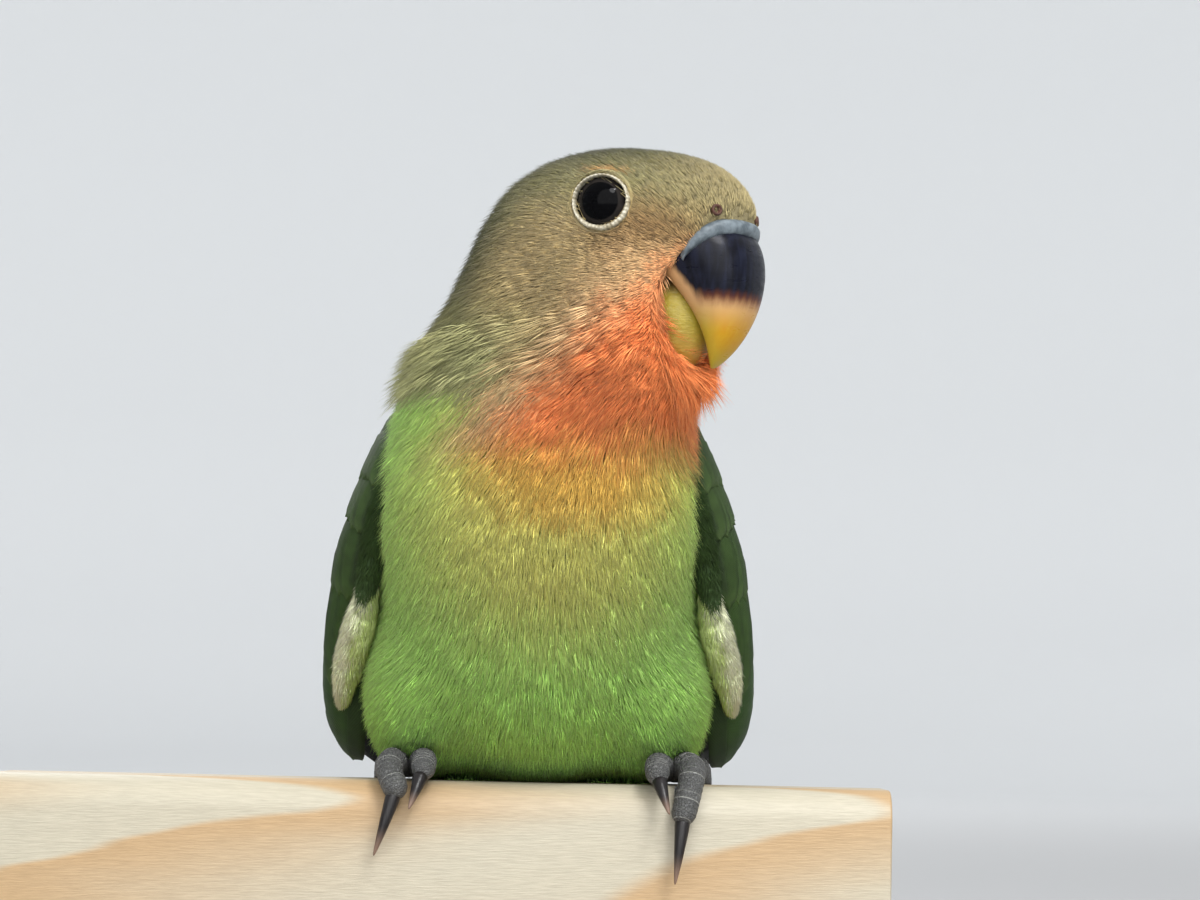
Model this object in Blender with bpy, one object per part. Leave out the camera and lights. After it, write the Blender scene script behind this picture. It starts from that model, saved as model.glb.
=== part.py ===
"""A young peach-faced lovebird, life size, perched on a short pine bar on a plain display stand.

Every size below is in millimetres, and points are turned into metres as a mesh is made. The bird has a frame of
its own: its origin is on the top of the bar, midway between the feet, with x to the viewer's right, y away from
the viewer and z up. The bird faces the viewer and turns its head to its own left. Its head has a second frame,
whose origin is midway between the eyes: forward, to the bird's left, and up.
"""

import math

import bmesh
import bpy
import numpy as np

MM = 0.001
GAP = 0.3  # between pieces that touch
WELD = 0.001  # points this close are one
FLAT_ANGLE = 0.004  # radians: faces that lie in one plane within this are made one before they are split again

# The stand and the perch
BASE_SIZE = (104.0, 88.0, 8.0)
BASE_EDGE = 2.0
BASE_BEHIND_BAR = 14.6  # the base's middle, behind the bar's
ROD_RADIUS = 2.5
ROD_LENGTH = 8.0
ROD_SIDES = 20
ROD_SPREAD = 34.0  # each rod from the middle of the bar
BAR_SIZE = (110.0, 20.0, 22.0)
BAR_ROUND = 4.0
BAR_MIDDLE_Y = -0.6  # in the bird's frame
BAR_TOP = BASE_SIZE[2] + ROD_LENGTH + 2 * GAP + BAR_SIZE[2]
BIRD_X = 11.4  # the bird stands this far right of the middle of the bar
BIRD_ORIGIN = np.array((BIRD_X, -BASE_BEHIND_BAR - BAR_MIDDLE_Y, BAR_TOP))

# How the bird holds itself, in degrees
BODY_PITCH = 50.0  # of the long axis of the trunk, above the horizon
HEAD_YAW = 60.0  # towards the bird's own left
HEAD_PITCH = -2.0
HEAD_ORIGIN = (11.4, -18.4, 68.7)  # midway between the eyes

# The body, a soft union of rounded forms: middle, radii across, along and through, and pitch of the long axis
FORMS = (
    ((0.0, 4.0, 32.0), (20.6, 33.0, 19.5), BODY_PITCH),
    ((0.0, -7.5, 32.0), (20.3, 21.0, 17.0), 68.0),
    ((0.0, 0.5, 16.5), (20.2, 18.5, 17.0), 25.0),
    ((0.0, 26.0, 17.0), (12.5, 20.0, 10.5), 42.0),
    ((1.2, -9.0, 48.0), (16.6, 15.0, 15.5), 0.0),
    ((4.7, -11.0, 60.9), (14.5, 12.6, 12.8), 0.0),
    ((14.6, 1.0, 9.5), (7.0, 11.5, 9.4), 0.0),
    ((-14.6, 1.0, 9.5), (7.0, 11.5, 9.4), 0.0),
)
# The head, in its own frame: middle, and radii forward, to the side and up
HEAD_FORMS = (
    ((-2.1, 0.0, -0.8), (15.4, 11.2, 8.8)),
    ((7.2, 0.0, -1.6), (7.0, 7.2, 6.2)),
    ((-1.0, 0.0, -8.5), (9.0, 11.2, 9.4)),
    ((0.4, 0.0, -17.0), (8.6, 9.8, 9.6)),
)
BLEND = 5.0
SPINE = (
    (0.0, 34.0, 12.0),
    (0.0, 20.0, 23.0),
    (0.0, 4.0, 33.0),
    (1.0, -7.0, 46.0),
    (5.0, -11.5, 59.0),
    (9.6, -14.8, 67.5),
)
SPINE_RINGS = 23
END_RINGS = 7
RING_SIDES = 30
REACH = 60.0  # the furthest that a form's surface lies from the spine
REACH_STEP = 1.0
HALVINGS = 14  # that narrow down where a ray leaves the surface
BLOCK = 150.0  # the size of the blocks that part the body
NECK_CUT = ((0.0, -9.0, 45.5), (-0.05, -0.3, 0.95))  # a point on the cut and the way up through it
HEAD_CUT = ((5.5, -16.0, 55.5), (0.42, -0.24, 1.0))
TAIL_CUT = ((0.0, 39.0, 9.0), (0.0, -0.83, 0.56))
LEG_BOX = ((8.6, -30.0, -5.0), (40.0, 15.0, 10.0))  # the leg is what this box takes of the body

# The eyes and their lids, in the head's frame
EYE_CENTRE = (0.2, 8.0, 0.0)
EYE_RADIUS = 3.9
EYE_FORWARD = 12.0  # degrees, the eye's axis ahead of straight out
LID_OUT = 2.7  # the lid's ring from the middle of the eye, along its axis
LID_RADII = (3.45, 3.25)
LID_THICKNESS = 0.55
LID_HALF_HEIGHT = 1.3  # along the eye's axis
LID_RINGS = 24
LID_SIDES = 6

# The bill, in the head's frame: forward and up
CULMEN = ((11.8, -1.0), (18.6, -2.6), (17.2, -13.6), (11.2, -18.6))
TOMIUM = ((4.4, -6.6), (7.6, -9.2), (11.8, -13.4), (10.9, -18.7))
BILL_HALF_WIDTH = 6.5
SOCKET = ((11.0, 0.0, -11.2), (6.4, 7.6, 7.2))  # the face stands back from the bill by this form
SOCKET_BLEND = 1.5
BILL_RINGS = 11
BILL_SIDES = 14
LOWER_BILL_MIDDLE = (5.9, 0.0, -12.9)
LOWER_BILL_RADII = (5.0, 5.2, 5.9)
NOSTRIL = (11.6, 3.9, -0.7)
NOSTRIL_RADII = (1.4, 1.4, 0.6)

# The feet: each toe runs through these points, for the bird's left foot
FEET_X = 0.8  # both feet lie this far to the bird's left of its middle
ANKLE = (15.6, 1.0, 4.2)
SOLE = (15.9, -0.4, 2.0)
ANKLE_RADII = (2.0, 2.1)
OUTER_DROP = {"left": -3.3, "right": -0.9}  # where the outer toe ends, over the edge of the bar
OUTER_LEAN = {"left": -0.1, "right": 0.28}  # how its claw leans, away from the body
TOES = {
    "outer_front": ((17.8, -5.8, 2.3), (18.4, -10.0, 1.2), (17.4, -12.35, None)),
    "inner_front": ((14.9, -5.0, 2.2), (14.2, -9.4, 2.3), (14.2, -11.6, 1.4)),
    "outer_back": ((18.6, 4.4, 1.9), (19.8, 8.0, 1.6), (20.2, 11.2, -0.6)),
    "inner_back": ((14.2, 3.8, 1.9), (13.4, 7.2, 1.8), (13.2, 9.8, 1.2)),
}
TOE_RADII = {
    "outer_front": (1.9, 1.5),
    "inner_front": (1.8, 1.4),
    "outer_back": (1.8, 1.3),
    "inner_back": (1.7, 1.2),
}
CLAWS = {
    # length, and the way that the claw leaves the toe
    "outer_front": (7.0, (None, -0.22, -0.97)),
    "inner_front": (4.4, (0.22, -0.6, -0.75)),
    "outer_back": (5.6, (0.0, 0.5, -0.85)),
    "inner_back": (4.4, (0.0, 0.5, -0.85)),
}
CLAW_RADIUS = 0.85
CLAW_BEND = 0.22  # sag of the claw's curve, as a share of its length
CLAW_TIP = 0.09

# The wing: its lower edge, its crest and its upper edge from the shoulder to the tip, for the bird's left wing
WING_LOWER = (
    (15.0, -12.5, 41.0),
    (20.2, -7.0, 27.0),
    (22.0, 6.0, 5.5),
    (19.5, 22.0, 0.5),
    (12.5, 43.0, -2.0),
    (3.2, 61.5, -8.5),
)
WING_CREST = (
    (17.6, -5.0, 45.0),
    (22.6, 1.5, 31.0),
    (24.4, 12.0, 17.0),
    (22.4, 28.0, 10.0),
    (14.0, 45.5, 2.0),
    (3.4, 62.5, -7.2),
)
WING_UPPER = (
    (10.4, 6.2, 52.0),
    (8.8, 16.0, 48.2),
    (5.8, 28.0, 37.4),
    (3.8, 39.6, 24.6),
    (2.6, 51.0, 9.8),
    (1.6, 63.0, -6.2),
)
WING_CORE_LENGTH = 0.6  # of the wing, the rest being free vanes
WING_STATIONS = 9
WING_SIDES = 6  # points across the outer face
CORE_ACROSS = ((0.03, 0.84), (0.22, 0.72))  # from edge to edge, at the shoulder and at the core's end
WING_THICKNESS = (4.0, 1.2)  # at the shoulder and at the core's end
CORE_SUNK = 0.7  # below the surface that the vanes follow
VANE_THICKNESS = 0.5
VANE_SUNK = 0.9  # how deep a vane's root lies in the core
VANE_ROLL = 0.6  # rise of one edge over the other, as roof tiles lie
VANE_SHAPE = ((0.0, 0.7), (0.45, 1.0), (0.84, 0.76), (1.0, 0.2))  # share of length, share of width
WING_TIERS = (
    # name, count, then root and tip along the wing and across it, first and last vane, half-width, height
    ("primary", 5, (0.40, 0.99, 0.10, 0.40), (0.44, 0.78, 0.44, 0.60), 2.7, 0.1),
    ("secondary", 4, (0.42, 0.71, 0.50, 0.66), (0.34, 0.66, 0.84, 0.93), 3.6, 0.5),
    ("greater_covert", 6, (0.24, 0.50, 0.10, 0.09), (0.20, 0.47, 0.82, 0.90), 3.8, 0.9),
    ("median_covert", 5, (0.12, 0.34, 0.13, 0.12), (0.09, 0.30, 0.80, 0.88), 4.2, 1.0),
    ("lesser_covert", 4, (0.02, 0.20, 0.19, 0.17), (0.01, 0.17, 0.76, 0.82), 4.3, 1.1),
)

# The tail: the line of its root, its core's half-width and half-depth along that line, and its feathers
TAIL_LINE = ((0.0, 30.0, 14.5), (0.0, 42.0, 5.0), (0.0, 52.0, -3.2))
TAIL_HALF_WIDTH = (9.5, 8.0, 5.0)
TAIL_HALF_DEPTH = (6.6, 4.4, 1.6)
TAIL_STATIONS = 7
TAIL_SIDES = 18
TAIL_ROOT = (0.0, 42.0, 4.6)
TAIL_TIP = (0.0, 77.5, -22.5)
RECTRICES = 10
RECTRIX_HALF_WIDTH = 3.1
RECTRIX_SPREAD = (5.6, 10.0)  # of the outermost feathers from the middle, at root and tip
RECTRIX_STEP = 0.45  # each feather lies this far below the next one towards the middle
RECTRIX_SHORTER = 0.16  # the outermost one's loss of length
COVERT_SHORTER = 0.1
COVERT_FALL = 1.1  # of the outermost covert below the middle of its row
COVERTS = (
    # name, count, half-width, root's and tip's share of the tail's line, spread at root and tip, rise at root and tip
    ("upper_covert", 4, 3.4, (-0.22, 0.46), (4.4, 5.4), (2.4, 1.6)),
    ("rump_feather", 3, 3.8, (-0.32, 0.26), (4.8, 5.0), (4.0, 3.4)),
    ("lower_covert", 4, 3.4, (-0.20, 0.56), (4.4, 5.8), (-3.4, -4.4)),
    ("vent_feather", 3, 3.8, (-0.30, 0.32), (4.8, 5.2), (-5.0, -5.6)),
)


def unit(vector):
    """The vector at length one."""
    vector = np.asarray(vector, float)
    return vector / np.linalg.norm(vector)


def smooth_curve(points, count):
    """Points at even steps along a Catmull-Rom curve through the given ones."""
    return curve_at(points, np.linspace(0, 1, count))


def curve_at(points, places):
    """Points at some places, from 0 to 1, along a Catmull-Rom curve through the given points."""
    points = np.asarray(points, float)
    padded = np.vstack((2 * points[0] - points[1], points, 2 * points[-1] - points[-2]))
    along = np.asarray(places, float) * (len(points) - 1)
    which = np.minimum(along.astype(int), len(points) - 2)
    part = (along - which)[:, None]
    a, b, c, d = (padded[which + shift] for shift in range(4))
    bend = (2 * a - 5 * b + 4 * c - d) * part**2
    twist = (3 * b - a - 3 * c + d) * part**3
    return 0.5 * (2 * b + (c - a) * part + bend + twist)


def bezier(points, count):
    """Points at even steps along a cubic Bezier curve."""
    a, b, c, d = (np.asarray(point, float) for point in points)
    t = np.linspace(0, 1, count)[:, None]
    return a * (1 - t) ** 3 + 3 * b * t * (1 - t) ** 2 + 3 * c * t**2 * (1 - t) + d * t**3


def head_axes():
    """The head's forward, left and up directions, as the rows of a matrix."""
    yaw, pitch = math.radians(HEAD_YAW), math.radians(HEAD_PITCH)
    level = np.array((math.sin(yaw), -math.cos(yaw), 0.0))
    left = np.array((math.cos(yaw), math.sin(yaw), 0.0))
    forward = level * math.cos(pitch) + np.array((0.0, 0.0, math.sin(pitch)))
    return np.array((forward, left, np.cross(forward, left)))


HEAD_AXES = head_axes()


def from_head(points):
    """Points of the head's frame in the bird's frame."""
    return np.asarray(points, float) @ HEAD_AXES + np.array(HEAD_ORIGIN)


def new_object(name, points, faces, colour=None, roughness=0.6, in_bird=True):
    """A closed mesh object from points in millimetres, with a plain material of its own."""
    points = np.asarray(points, float) + (BIRD_ORIGIN if in_bird else 0.0)
    mesh = bpy.data.meshes.new(name)
    mesh.from_pydata((points * MM).tolist(), [], faces)
    body = bmesh.new()
    body.from_mesh(mesh)
    bmesh.ops.recalc_face_normals(body, faces=body.faces)
    if body.calc_volume(signed=True) < 0:
        bmesh.ops.reverse_faces(body, faces=body.faces)
    body.to_mesh(mesh)
    body.free()
    built = bpy.data.objects.new(name, mesh)
    bpy.context.scene.collection.objects.link(built)
    if colour:
        finish(built, colour, roughness)
    return built


def finish(built, colour, roughness=0.6):
    """Give an object its own plain material."""
    material = bpy.data.materials.new(built.name)
    material.use_nodes = True
    shader = material.node_tree.nodes["Principled BSDF"]
    shader.inputs["Base Color"].default_value = (*colour, 1.0)
    shader.inputs["Roughness"].default_value = roughness
    built.data.materials.clear()
    built.data.materials.append(material)
    built.data.shade_smooth()
    built.data.set_sharp_from_angle(angle=math.radians(50))


def grid_faces(rings, sides, closed=True):
    """Quads between successive rings of points, each ring having the same number of points."""
    faces = []
    for ring in range(rings - 1):
        for side in range(sides if closed else sides - 1):
            after = (side + 1) % sides
            low, high = ring * sides, (ring + 1) * sides
            faces.append((low + side, low + after, high + after, high + side))
    return faces


def capped_tube(rings):
    """Points and faces of a tube from rings of points, its ends closed by a fan."""
    rings = np.asarray(rings, float)
    count, sides = rings.shape[:2]
    points = np.vstack((rings.reshape(-1, 3), rings[0].mean(axis=0), rings[-1].mean(axis=0)))
    faces = grid_faces(count, sides)
    first, last = count * sides, count * sides + 1
    for side in range(sides):
        after = (side + 1) % sides
        faces.append((after, side, first))
        faces.append(((count - 1) * sides + side, (count - 1) * sides + after, last))
    return points, faces


def round_tube(line, radii, sides, ends=2):
    """Points and faces of a round tube along a line, with domed ends."""
    line = np.asarray(line, float)
    radii = np.asarray(radii, float)
    ways = np.gradient(line, axis=0)
    ways /= np.linalg.norm(ways, axis=1)[:, None]
    rings = []
    across = unit(np.cross(ways[0], (0.31, 0.2, 0.93)))
    turn = np.linspace(0, 2 * math.pi, sides, endpoint=False)
    for index, (middle, way, radius) in enumerate(zip(line, ways, radii)):
        across = unit(across - way * np.dot(across, way))
        other = np.cross(way, across)
        circle = np.outer(np.cos(turn), across) + np.outer(np.sin(turn), other)
        domes = [(0.0, 1.0)]
        if index == 0:
            domes = [(-math.cos(a), math.sin(a)) for a in np.linspace(0.45, math.pi / 2, ends + 1)]
        if index == len(line) - 1:
            domes = [(math.cos(a), math.sin(a)) for a in np.linspace(math.pi / 2, 0.45, ends + 1)]
        for shift, share in domes:
            rings.append(middle + way * radius * shift + circle * radius * share)
    return capped_tube(rings)


def join(name, pieces):
    """Fuse closed meshes into one object with a single Boolean union, and remove the pieces."""
    first, rest = pieces[0], pieces[1:]
    group = bpy.data.collections.new(name + " pieces")
    for piece in rest:
        group.objects.link(piece)
    first.name = name
    first.data.name = name
    union = first.modifiers.new("union", "BOOLEAN")
    union.operation = "UNION"
    union.solver = "MANIFOLD"
    union.operand_type = "COLLECTION"
    union.collection = group
    apply_modifiers(first)
    for piece in rest:
        bpy.data.objects.remove(piece)
    bpy.data.collections.remove(group)
    keep_largest(first)
    return first


def cut(target, cutter, operation="DIFFERENCE"):
    """Cut an object with another one, and remove the cutter."""
    boolean = target.modifiers.new("cut", "BOOLEAN")
    boolean.operation = operation
    boolean.solver = "MANIFOLD"
    boolean.object = cutter
    apply_modifiers(target)
    bpy.data.objects.remove(cutter)
    keep_largest(target)


def apply_modifiers(target):
    """Replace an object's mesh by what its modifiers make of it."""
    bpy.context.view_layer.update()
    graph = bpy.context.evaluated_depsgraph_get()
    mesh = bpy.data.meshes.new_from_object(target.evaluated_get(graph))
    target.modifiers.clear()
    target.data = mesh


def keep_largest(target):
    """Keep an object's largest closed surface, welded and made of triangles."""
    body = bmesh.new()
    body.from_mesh(target.data)
    drop_all_but_largest(body)
    bmesh.ops.remove_doubles(body, verts=body.verts, dist=WELD * MM)
    bmesh.ops.dissolve_degenerate(body, edges=body.edges, dist=2 * WELD * MM)
    bmesh.ops.dissolve_limit(body, angle_limit=FLAT_ANGLE, verts=body.verts, edges=body.edges)
    bmesh.ops.triangulate(body, faces=body.faces)
    drop_all_but_largest(body)
    body.to_mesh(target.data)
    body.free()


def drop_all_but_largest(body):
    """Drop every group of faces but the largest, where a group holds together by edges of two faces."""
    body.faces.index_update()
    seen = set()
    groups = []
    for start in body.faces:
        if start.index in seen:
            continue
        seen.add(start.index)
        group = [start]
        for face in group:
            for edge in face.edges:
                for other in edge.link_faces if len(edge.link_faces) == 2 else ():
                    if other.index not in seen:
                        seen.add(other.index)
                        group.append(other)
        groups.append(group)
    groups.sort(key=len, reverse=True)
    loose = [face for group in groups[1:] for face in group]
    if loose:
        bmesh.ops.delete(body, geom=loose, context="FACES")


def grown(name, source, amount):
    """A copy of an object, grown outwards by an amount in millimetres."""
    copy = bpy.data.objects.new(name, source.data.copy())
    copy.matrix_world = source.matrix_world
    bpy.context.scene.collection.objects.link(copy)
    body = bmesh.new()
    body.from_mesh(copy.data)
    body.normal_update()
    shifts = [vertex.normal * amount * MM for vertex in body.verts]
    for vertex, shift in zip(body.verts, shifts):
        vertex.co += shift
    body.to_mesh(copy.data)
    body.free()
    return copy


def box(name, low, high, in_bird=True):
    """A box between two corners."""
    corners = [(x, y, z) for x in (low[0], high[0]) for y in (low[1], high[1]) for z in (low[2], high[2])]
    faces = [(0, 1, 3, 2), (4, 6, 7, 5), (0, 4, 5, 1), (2, 3, 7, 6), (0, 2, 6, 4), (1, 5, 7, 3)]
    return new_object(name, corners, faces, in_bird=in_bird)


def half_space(name, cut_point, up, above):
    """A large block on one side of a cut, which takes half the gap from the other side."""
    up = unit(up)
    across = unit(np.cross(up, (0.0, 1.0, 0.2)))
    other = np.cross(up, across)
    side = 1.0 if above else -1.0
    start = np.asarray(cut_point, float) - up * side * GAP * 0.5
    corners = []
    for depth in (0.0, BLOCK):
        for a, b in ((-1, -1), (1, -1), (1, 1), (-1, 1)):
            corners.append(start + up * side * depth + (across * a + other * b) * BLOCK)
    faces = [(0, 1, 2, 3), (7, 6, 5, 4), (0, 4, 5, 1), (1, 5, 6, 2), (2, 6, 7, 3), (3, 7, 4, 0)]
    return new_object(name, corners, faces)


def form_distance(points, middle, radii, axes):
    """How far points lie outside a rounded form, roughly, and below zero inside it."""
    local = (points - np.asarray(middle)) @ np.asarray(axes).T
    radii = np.asarray(radii)
    share = np.linalg.norm(local / radii, axis=-1)
    slope = np.linalg.norm(local / radii**2, axis=-1)
    return share * (share - 1.0) / np.maximum(slope, 1e-9)


def body_distance(points):
    """How far points lie outside the whole bird, without its wings, tail and feet."""
    nearest = None
    for middle, radii, pitch in FORMS:
        lean = math.radians(pitch)
        along = (0.0, math.cos(lean), -math.sin(lean))
        through = (0.0, math.sin(lean), math.cos(lean))
        distance = form_distance(points, middle, radii, ((1.0, 0.0, 0.0), along, through))
        nearest = distance if nearest is None else soft_least(nearest, distance)
    for middle, radii in HEAD_FORMS:
        nearest = soft_least(nearest, form_distance(points, from_head(middle), radii, HEAD_AXES))
    socket = form_distance(points, from_head(SOCKET[0]), SOCKET[1], HEAD_AXES)
    return -soft_least(-nearest, socket, SOCKET_BLEND)


def soft_least(first, second, blend=BLEND):
    """The lesser of two distances, rounded over where they are alike."""
    share = np.clip(0.5 + 0.5 * (second - first) / blend, 0.0, 1.0)
    return second * (1 - share) + first * share - blend * share * (1 - share)


def body_surface():
    """The bird's outer surface, found along rays from its spine."""
    spine = smooth_curve(SPINE, SPINE_RINGS)
    ways = np.gradient(spine, axis=0)
    ways /= np.linalg.norm(ways, axis=1)[:, None]
    steps = [(0, -math.pi / 2 * (1 - k / END_RINGS)) for k in range(1, END_RINGS)]
    steps += [(k, 0.0) for k in range(SPINE_RINGS)]
    steps += [(SPINE_RINGS - 1, math.pi / 2 * k / END_RINGS) for k in range(1, END_RINGS)]
    turn = np.linspace(0, 2 * math.pi, RING_SIDES, endpoint=False)
    starts, rays = [], []
    for index, tilt in steps:
        way = ways[index]
        across = unit(np.array((1.0, 0.0, 0.0)) - way * way[0])
        other = np.cross(way, across)
        circle = np.outer(np.cos(turn), across) + np.outer(np.sin(turn), other)
        starts.append(np.repeat(spine[index][None], RING_SIDES, axis=0))
        rays.append(circle * math.cos(tilt) + way * math.sin(tilt))
    starts = np.vstack(starts + [spine[:1], spine[-1:]])
    rays = np.vstack(rays + [-ways[:1], ways[-1:]])
    low = np.zeros(len(rays))
    high = np.full(len(rays), REACH)
    for distance in np.arange(REACH_STEP, REACH, REACH_STEP):
        outside = body_distance(starts + rays * distance) > 0
        open_ray = high == REACH
        high[outside & open_ray] = distance
        low[~outside & open_ray] = distance
    for _ in range(HALVINGS):
        middle = 0.5 * (low + high)
        outside = body_distance(starts + rays * middle[:, None]) > 0
        high = np.where(outside, middle, high)
        low = np.where(outside, low, middle)
    points = starts + rays * high[:, None]
    faces = grid_faces(len(steps), RING_SIDES)
    first, last = len(points) - 2, len(points) - 1
    top = (len(steps) - 1) * RING_SIDES
    for side in range(RING_SIDES):
        after = (side + 1) % RING_SIDES
        faces.append((after, side, first))
        faces.append((top + side, top + after, last))
    return points, faces


def wing_at(along, across):
    """Points on the folded left wing's outer surface, from the shoulder to the tip and from its lower edge up."""
    lower, crest, upper = (curve_at(line, along) for line in (WING_LOWER, WING_CREST, WING_UPPER))
    across = np.asarray(across, float)[:, None]
    control = 2 * crest - 0.5 * (lower + upper)
    return lower * (1 - across) ** 2 + 2 * control * across * (1 - across) + upper * across**2


def wing_out(along, across):
    """The directions that point out of the folded left wing there."""
    step = 0.02
    forth = wing_at(np.minimum(along + step, 1.0), across) - wing_at(np.maximum(along - step, 0.0), across)
    upward = wing_at(along, across + step) - wing_at(along, across - step)
    out = np.cross(upward, forth)
    out /= np.linalg.norm(out, axis=1)[:, None]
    return out * np.where(out[:, :1] < 0, -1.0, 1.0)


def vane(name, shaft, out, half_width, roll):
    """One feather: a thin blade along its shaft, as wide as its half-widths, tilted as a roof tile is."""
    ways = np.gradient(shaft, axis=0)
    across = np.cross(out, ways)
    across /= np.linalg.norm(across, axis=1)[:, None]
    upper, lower = [], []
    for place, shift in ((-1.0, -roll), (0.0, 0.12), (1.0, roll)):
        edge = shaft + across * half_width[:, None] * place + out * shift * np.minimum(1.0, half_width[:, None])
        upper.append(edge + out * VANE_THICKNESS / 2)
        lower.append(edge - out * VANE_THICKNESS / 2)
    count = len(shaft)
    points = np.vstack(upper + lower)
    faces = []
    for row in range(count - 1):
        for column in range(2):
            a, b = column * count + row, (column + 1) * count + row
            deep = 3 * count
            faces += [(a, b, b + 1), (a, b + 1, a + 1)]
            faces += [(a + deep, b + 1 + deep, b + deep), (a + deep, a + 1 + deep, b + 1 + deep)]
        for column in (0, 2):
            a = column * count + row
            faces.append((a, a + 1, a + 1 + 3 * count, a + 3 * count))
    for row in (0, count - 1):
        for column in range(2):
            a, b = column * count + row, (column + 1) * count + row
            faces.append((a, b, b + 3 * count, a + 3 * count))
    return new_object(name, points, faces)


def wing():
    """The folded left wing: a thin core over the flank, with its feathers in tiers from lesser coverts to the tip."""
    rng = np.random.default_rng(7)
    rings = []
    for station in range(WING_STATIONS):
        share = station / (WING_STATIONS - 1)
        edges = np.array(CORE_ACROSS[0]) * (1 - share) + np.array(CORE_ACROSS[1]) * share
        across = np.linspace(*edges, WING_SIDES)
        along = np.full(WING_SIDES, share * WING_CORE_LENGTH)
        outer, out = wing_at(along, across), wing_out(along, across)
        thickness = WING_THICKNESS[0] * (1 - share) + WING_THICKNESS[1] * share
        profile = (np.sin(np.linspace(0.12, 0.88, WING_SIDES) * math.pi) ** 0.7)[:, None]
        rings.append(np.vstack((outer - out * CORE_SUNK, (outer - out * (CORE_SUNK + thickness * profile))[::-1])))
    points, faces = capped_tube(rings)
    pieces = [new_object("core", points, faces)]
    shape = np.array(VANE_SHAPE)
    for tier, count, first, last, half_width, height in WING_TIERS:
        for index in range(count):
            share = index / (count - 1)
            root, tip, root_across, tip_across = np.array(first) * (1 - share) + np.array(last) * share
            tip += rng.uniform(-0.008, 0.008)
            along = root + (tip - root) * shape[:, 0]
            place = root_across + (tip_across - root_across) * shape[:, 0]
            out = wing_out(along, place)
            rise = np.interp(shape[:, 0], (0.0, 0.35, 1.0), (-VANE_SUNK - CORE_SUNK * 0.3, height * 0.7, height))
            shaft = wing_at(along, place) + out * rise[:, None]
            pieces.append(vane(tier, shaft, out, shape[:, 1] * half_width, VANE_ROLL))
    return join("wing_left", pieces)


def mirrored(name, source):
    """A copy of an object on the bird's other side."""
    copy = grown(name, source, 0.0)
    body = bmesh.new()
    body.from_mesh(copy.data)
    for vertex in body.verts:
        vertex.co.x = 2 * BIRD_ORIGIN[0] * MM - vertex.co.x
    bmesh.ops.reverse_faces(body, faces=body.faces)
    body.to_mesh(copy.data)
    body.free()
    return copy


def tail():
    """The closed tail: ten long feathers under shorter coverts, rooted in one core."""
    line = smooth_curve(TAIL_LINE, TAIL_STATIONS)
    share = np.linspace(0, len(TAIL_LINE) - 1, TAIL_STATIONS)
    widths = np.interp(share, range(len(TAIL_LINE)), TAIL_HALF_WIDTH)
    depths = np.interp(share, range(len(TAIL_LINE)), TAIL_HALF_DEPTH)
    turn = np.linspace(0, 2 * math.pi, TAIL_SIDES, endpoint=False)
    rings = []
    for middle, way, width, depth in zip(line, np.gradient(line, axis=0), widths, depths):
        lift = unit(np.cross((1.0, 0.0, 0.0), way))
        rings.append(middle + np.outer(np.cos(turn), (width, 0.0, 0.0)) + np.outer(np.sin(turn), lift * depth))
    points, faces = capped_tube(rings)
    pieces = [new_object("core", points, faces)]
    root, tip = np.array(TAIL_ROOT), np.array(TAIL_TIP)
    up = unit(np.cross((1.0, 0.0, 0.0), tip - root))
    if up[2] < 0:
        up = -up
    for index in range(RECTRICES):
        place = 2 * index / (RECTRICES - 1) - 1
        length = 1 - RECTRIX_SHORTER * abs(place) ** 1.5
        drop = (abs(place) * (RECTRICES - 1) / 2 - 0.5) * RECTRIX_STEP
        start = root + (place * RECTRIX_SPREAD[0], 0, 0)
        end = root + (tip - root) * length + (place * RECTRIX_SPREAD[1], 0, 0)
        tilt = VANE_ROLL * (-1 if place > 0 else 1)
        pieces.append(straight_vane("rectrix", start, end, up, (-drop * 0.5, -drop), RECTRIX_HALF_WIDTH, tilt))
    for name, count, half_width, places, spread, rises in COVERTS:
        for index in range(count):
            place = 2 * index / (count - 1) - 1
            shorter = COVERT_SHORTER * abs(place)
            ends = []
            for share, reach in zip(places, spread):
                ends.append(root + (tip - root) * share * (1 - shorter) + (place * reach, 0, 0))
            fall = np.array(rises) - np.sign(rises[0]) * COVERT_FALL * abs(place)
            tilt = VANE_ROLL * 0.4 * (-1 if place > 0 else 1)
            pieces.append(straight_vane(name, *ends, up, fall, half_width, tilt))
    return join("tail", pieces)


def straight_vane(name, root, tip, up, rises, half_width, roll):
    """A feather that runs straight from root to tip, its height over that line given at both ends."""
    shape = np.array(VANE_SHAPE)
    shaft = root + (tip - root) * shape[:, :1] + up * np.interp(shape[:, 0], (0, 1), rises)[:, None]
    return vane(name, shaft, np.repeat(up[None], len(shape), axis=0), shape[:, 1] * half_width, roll)


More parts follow.
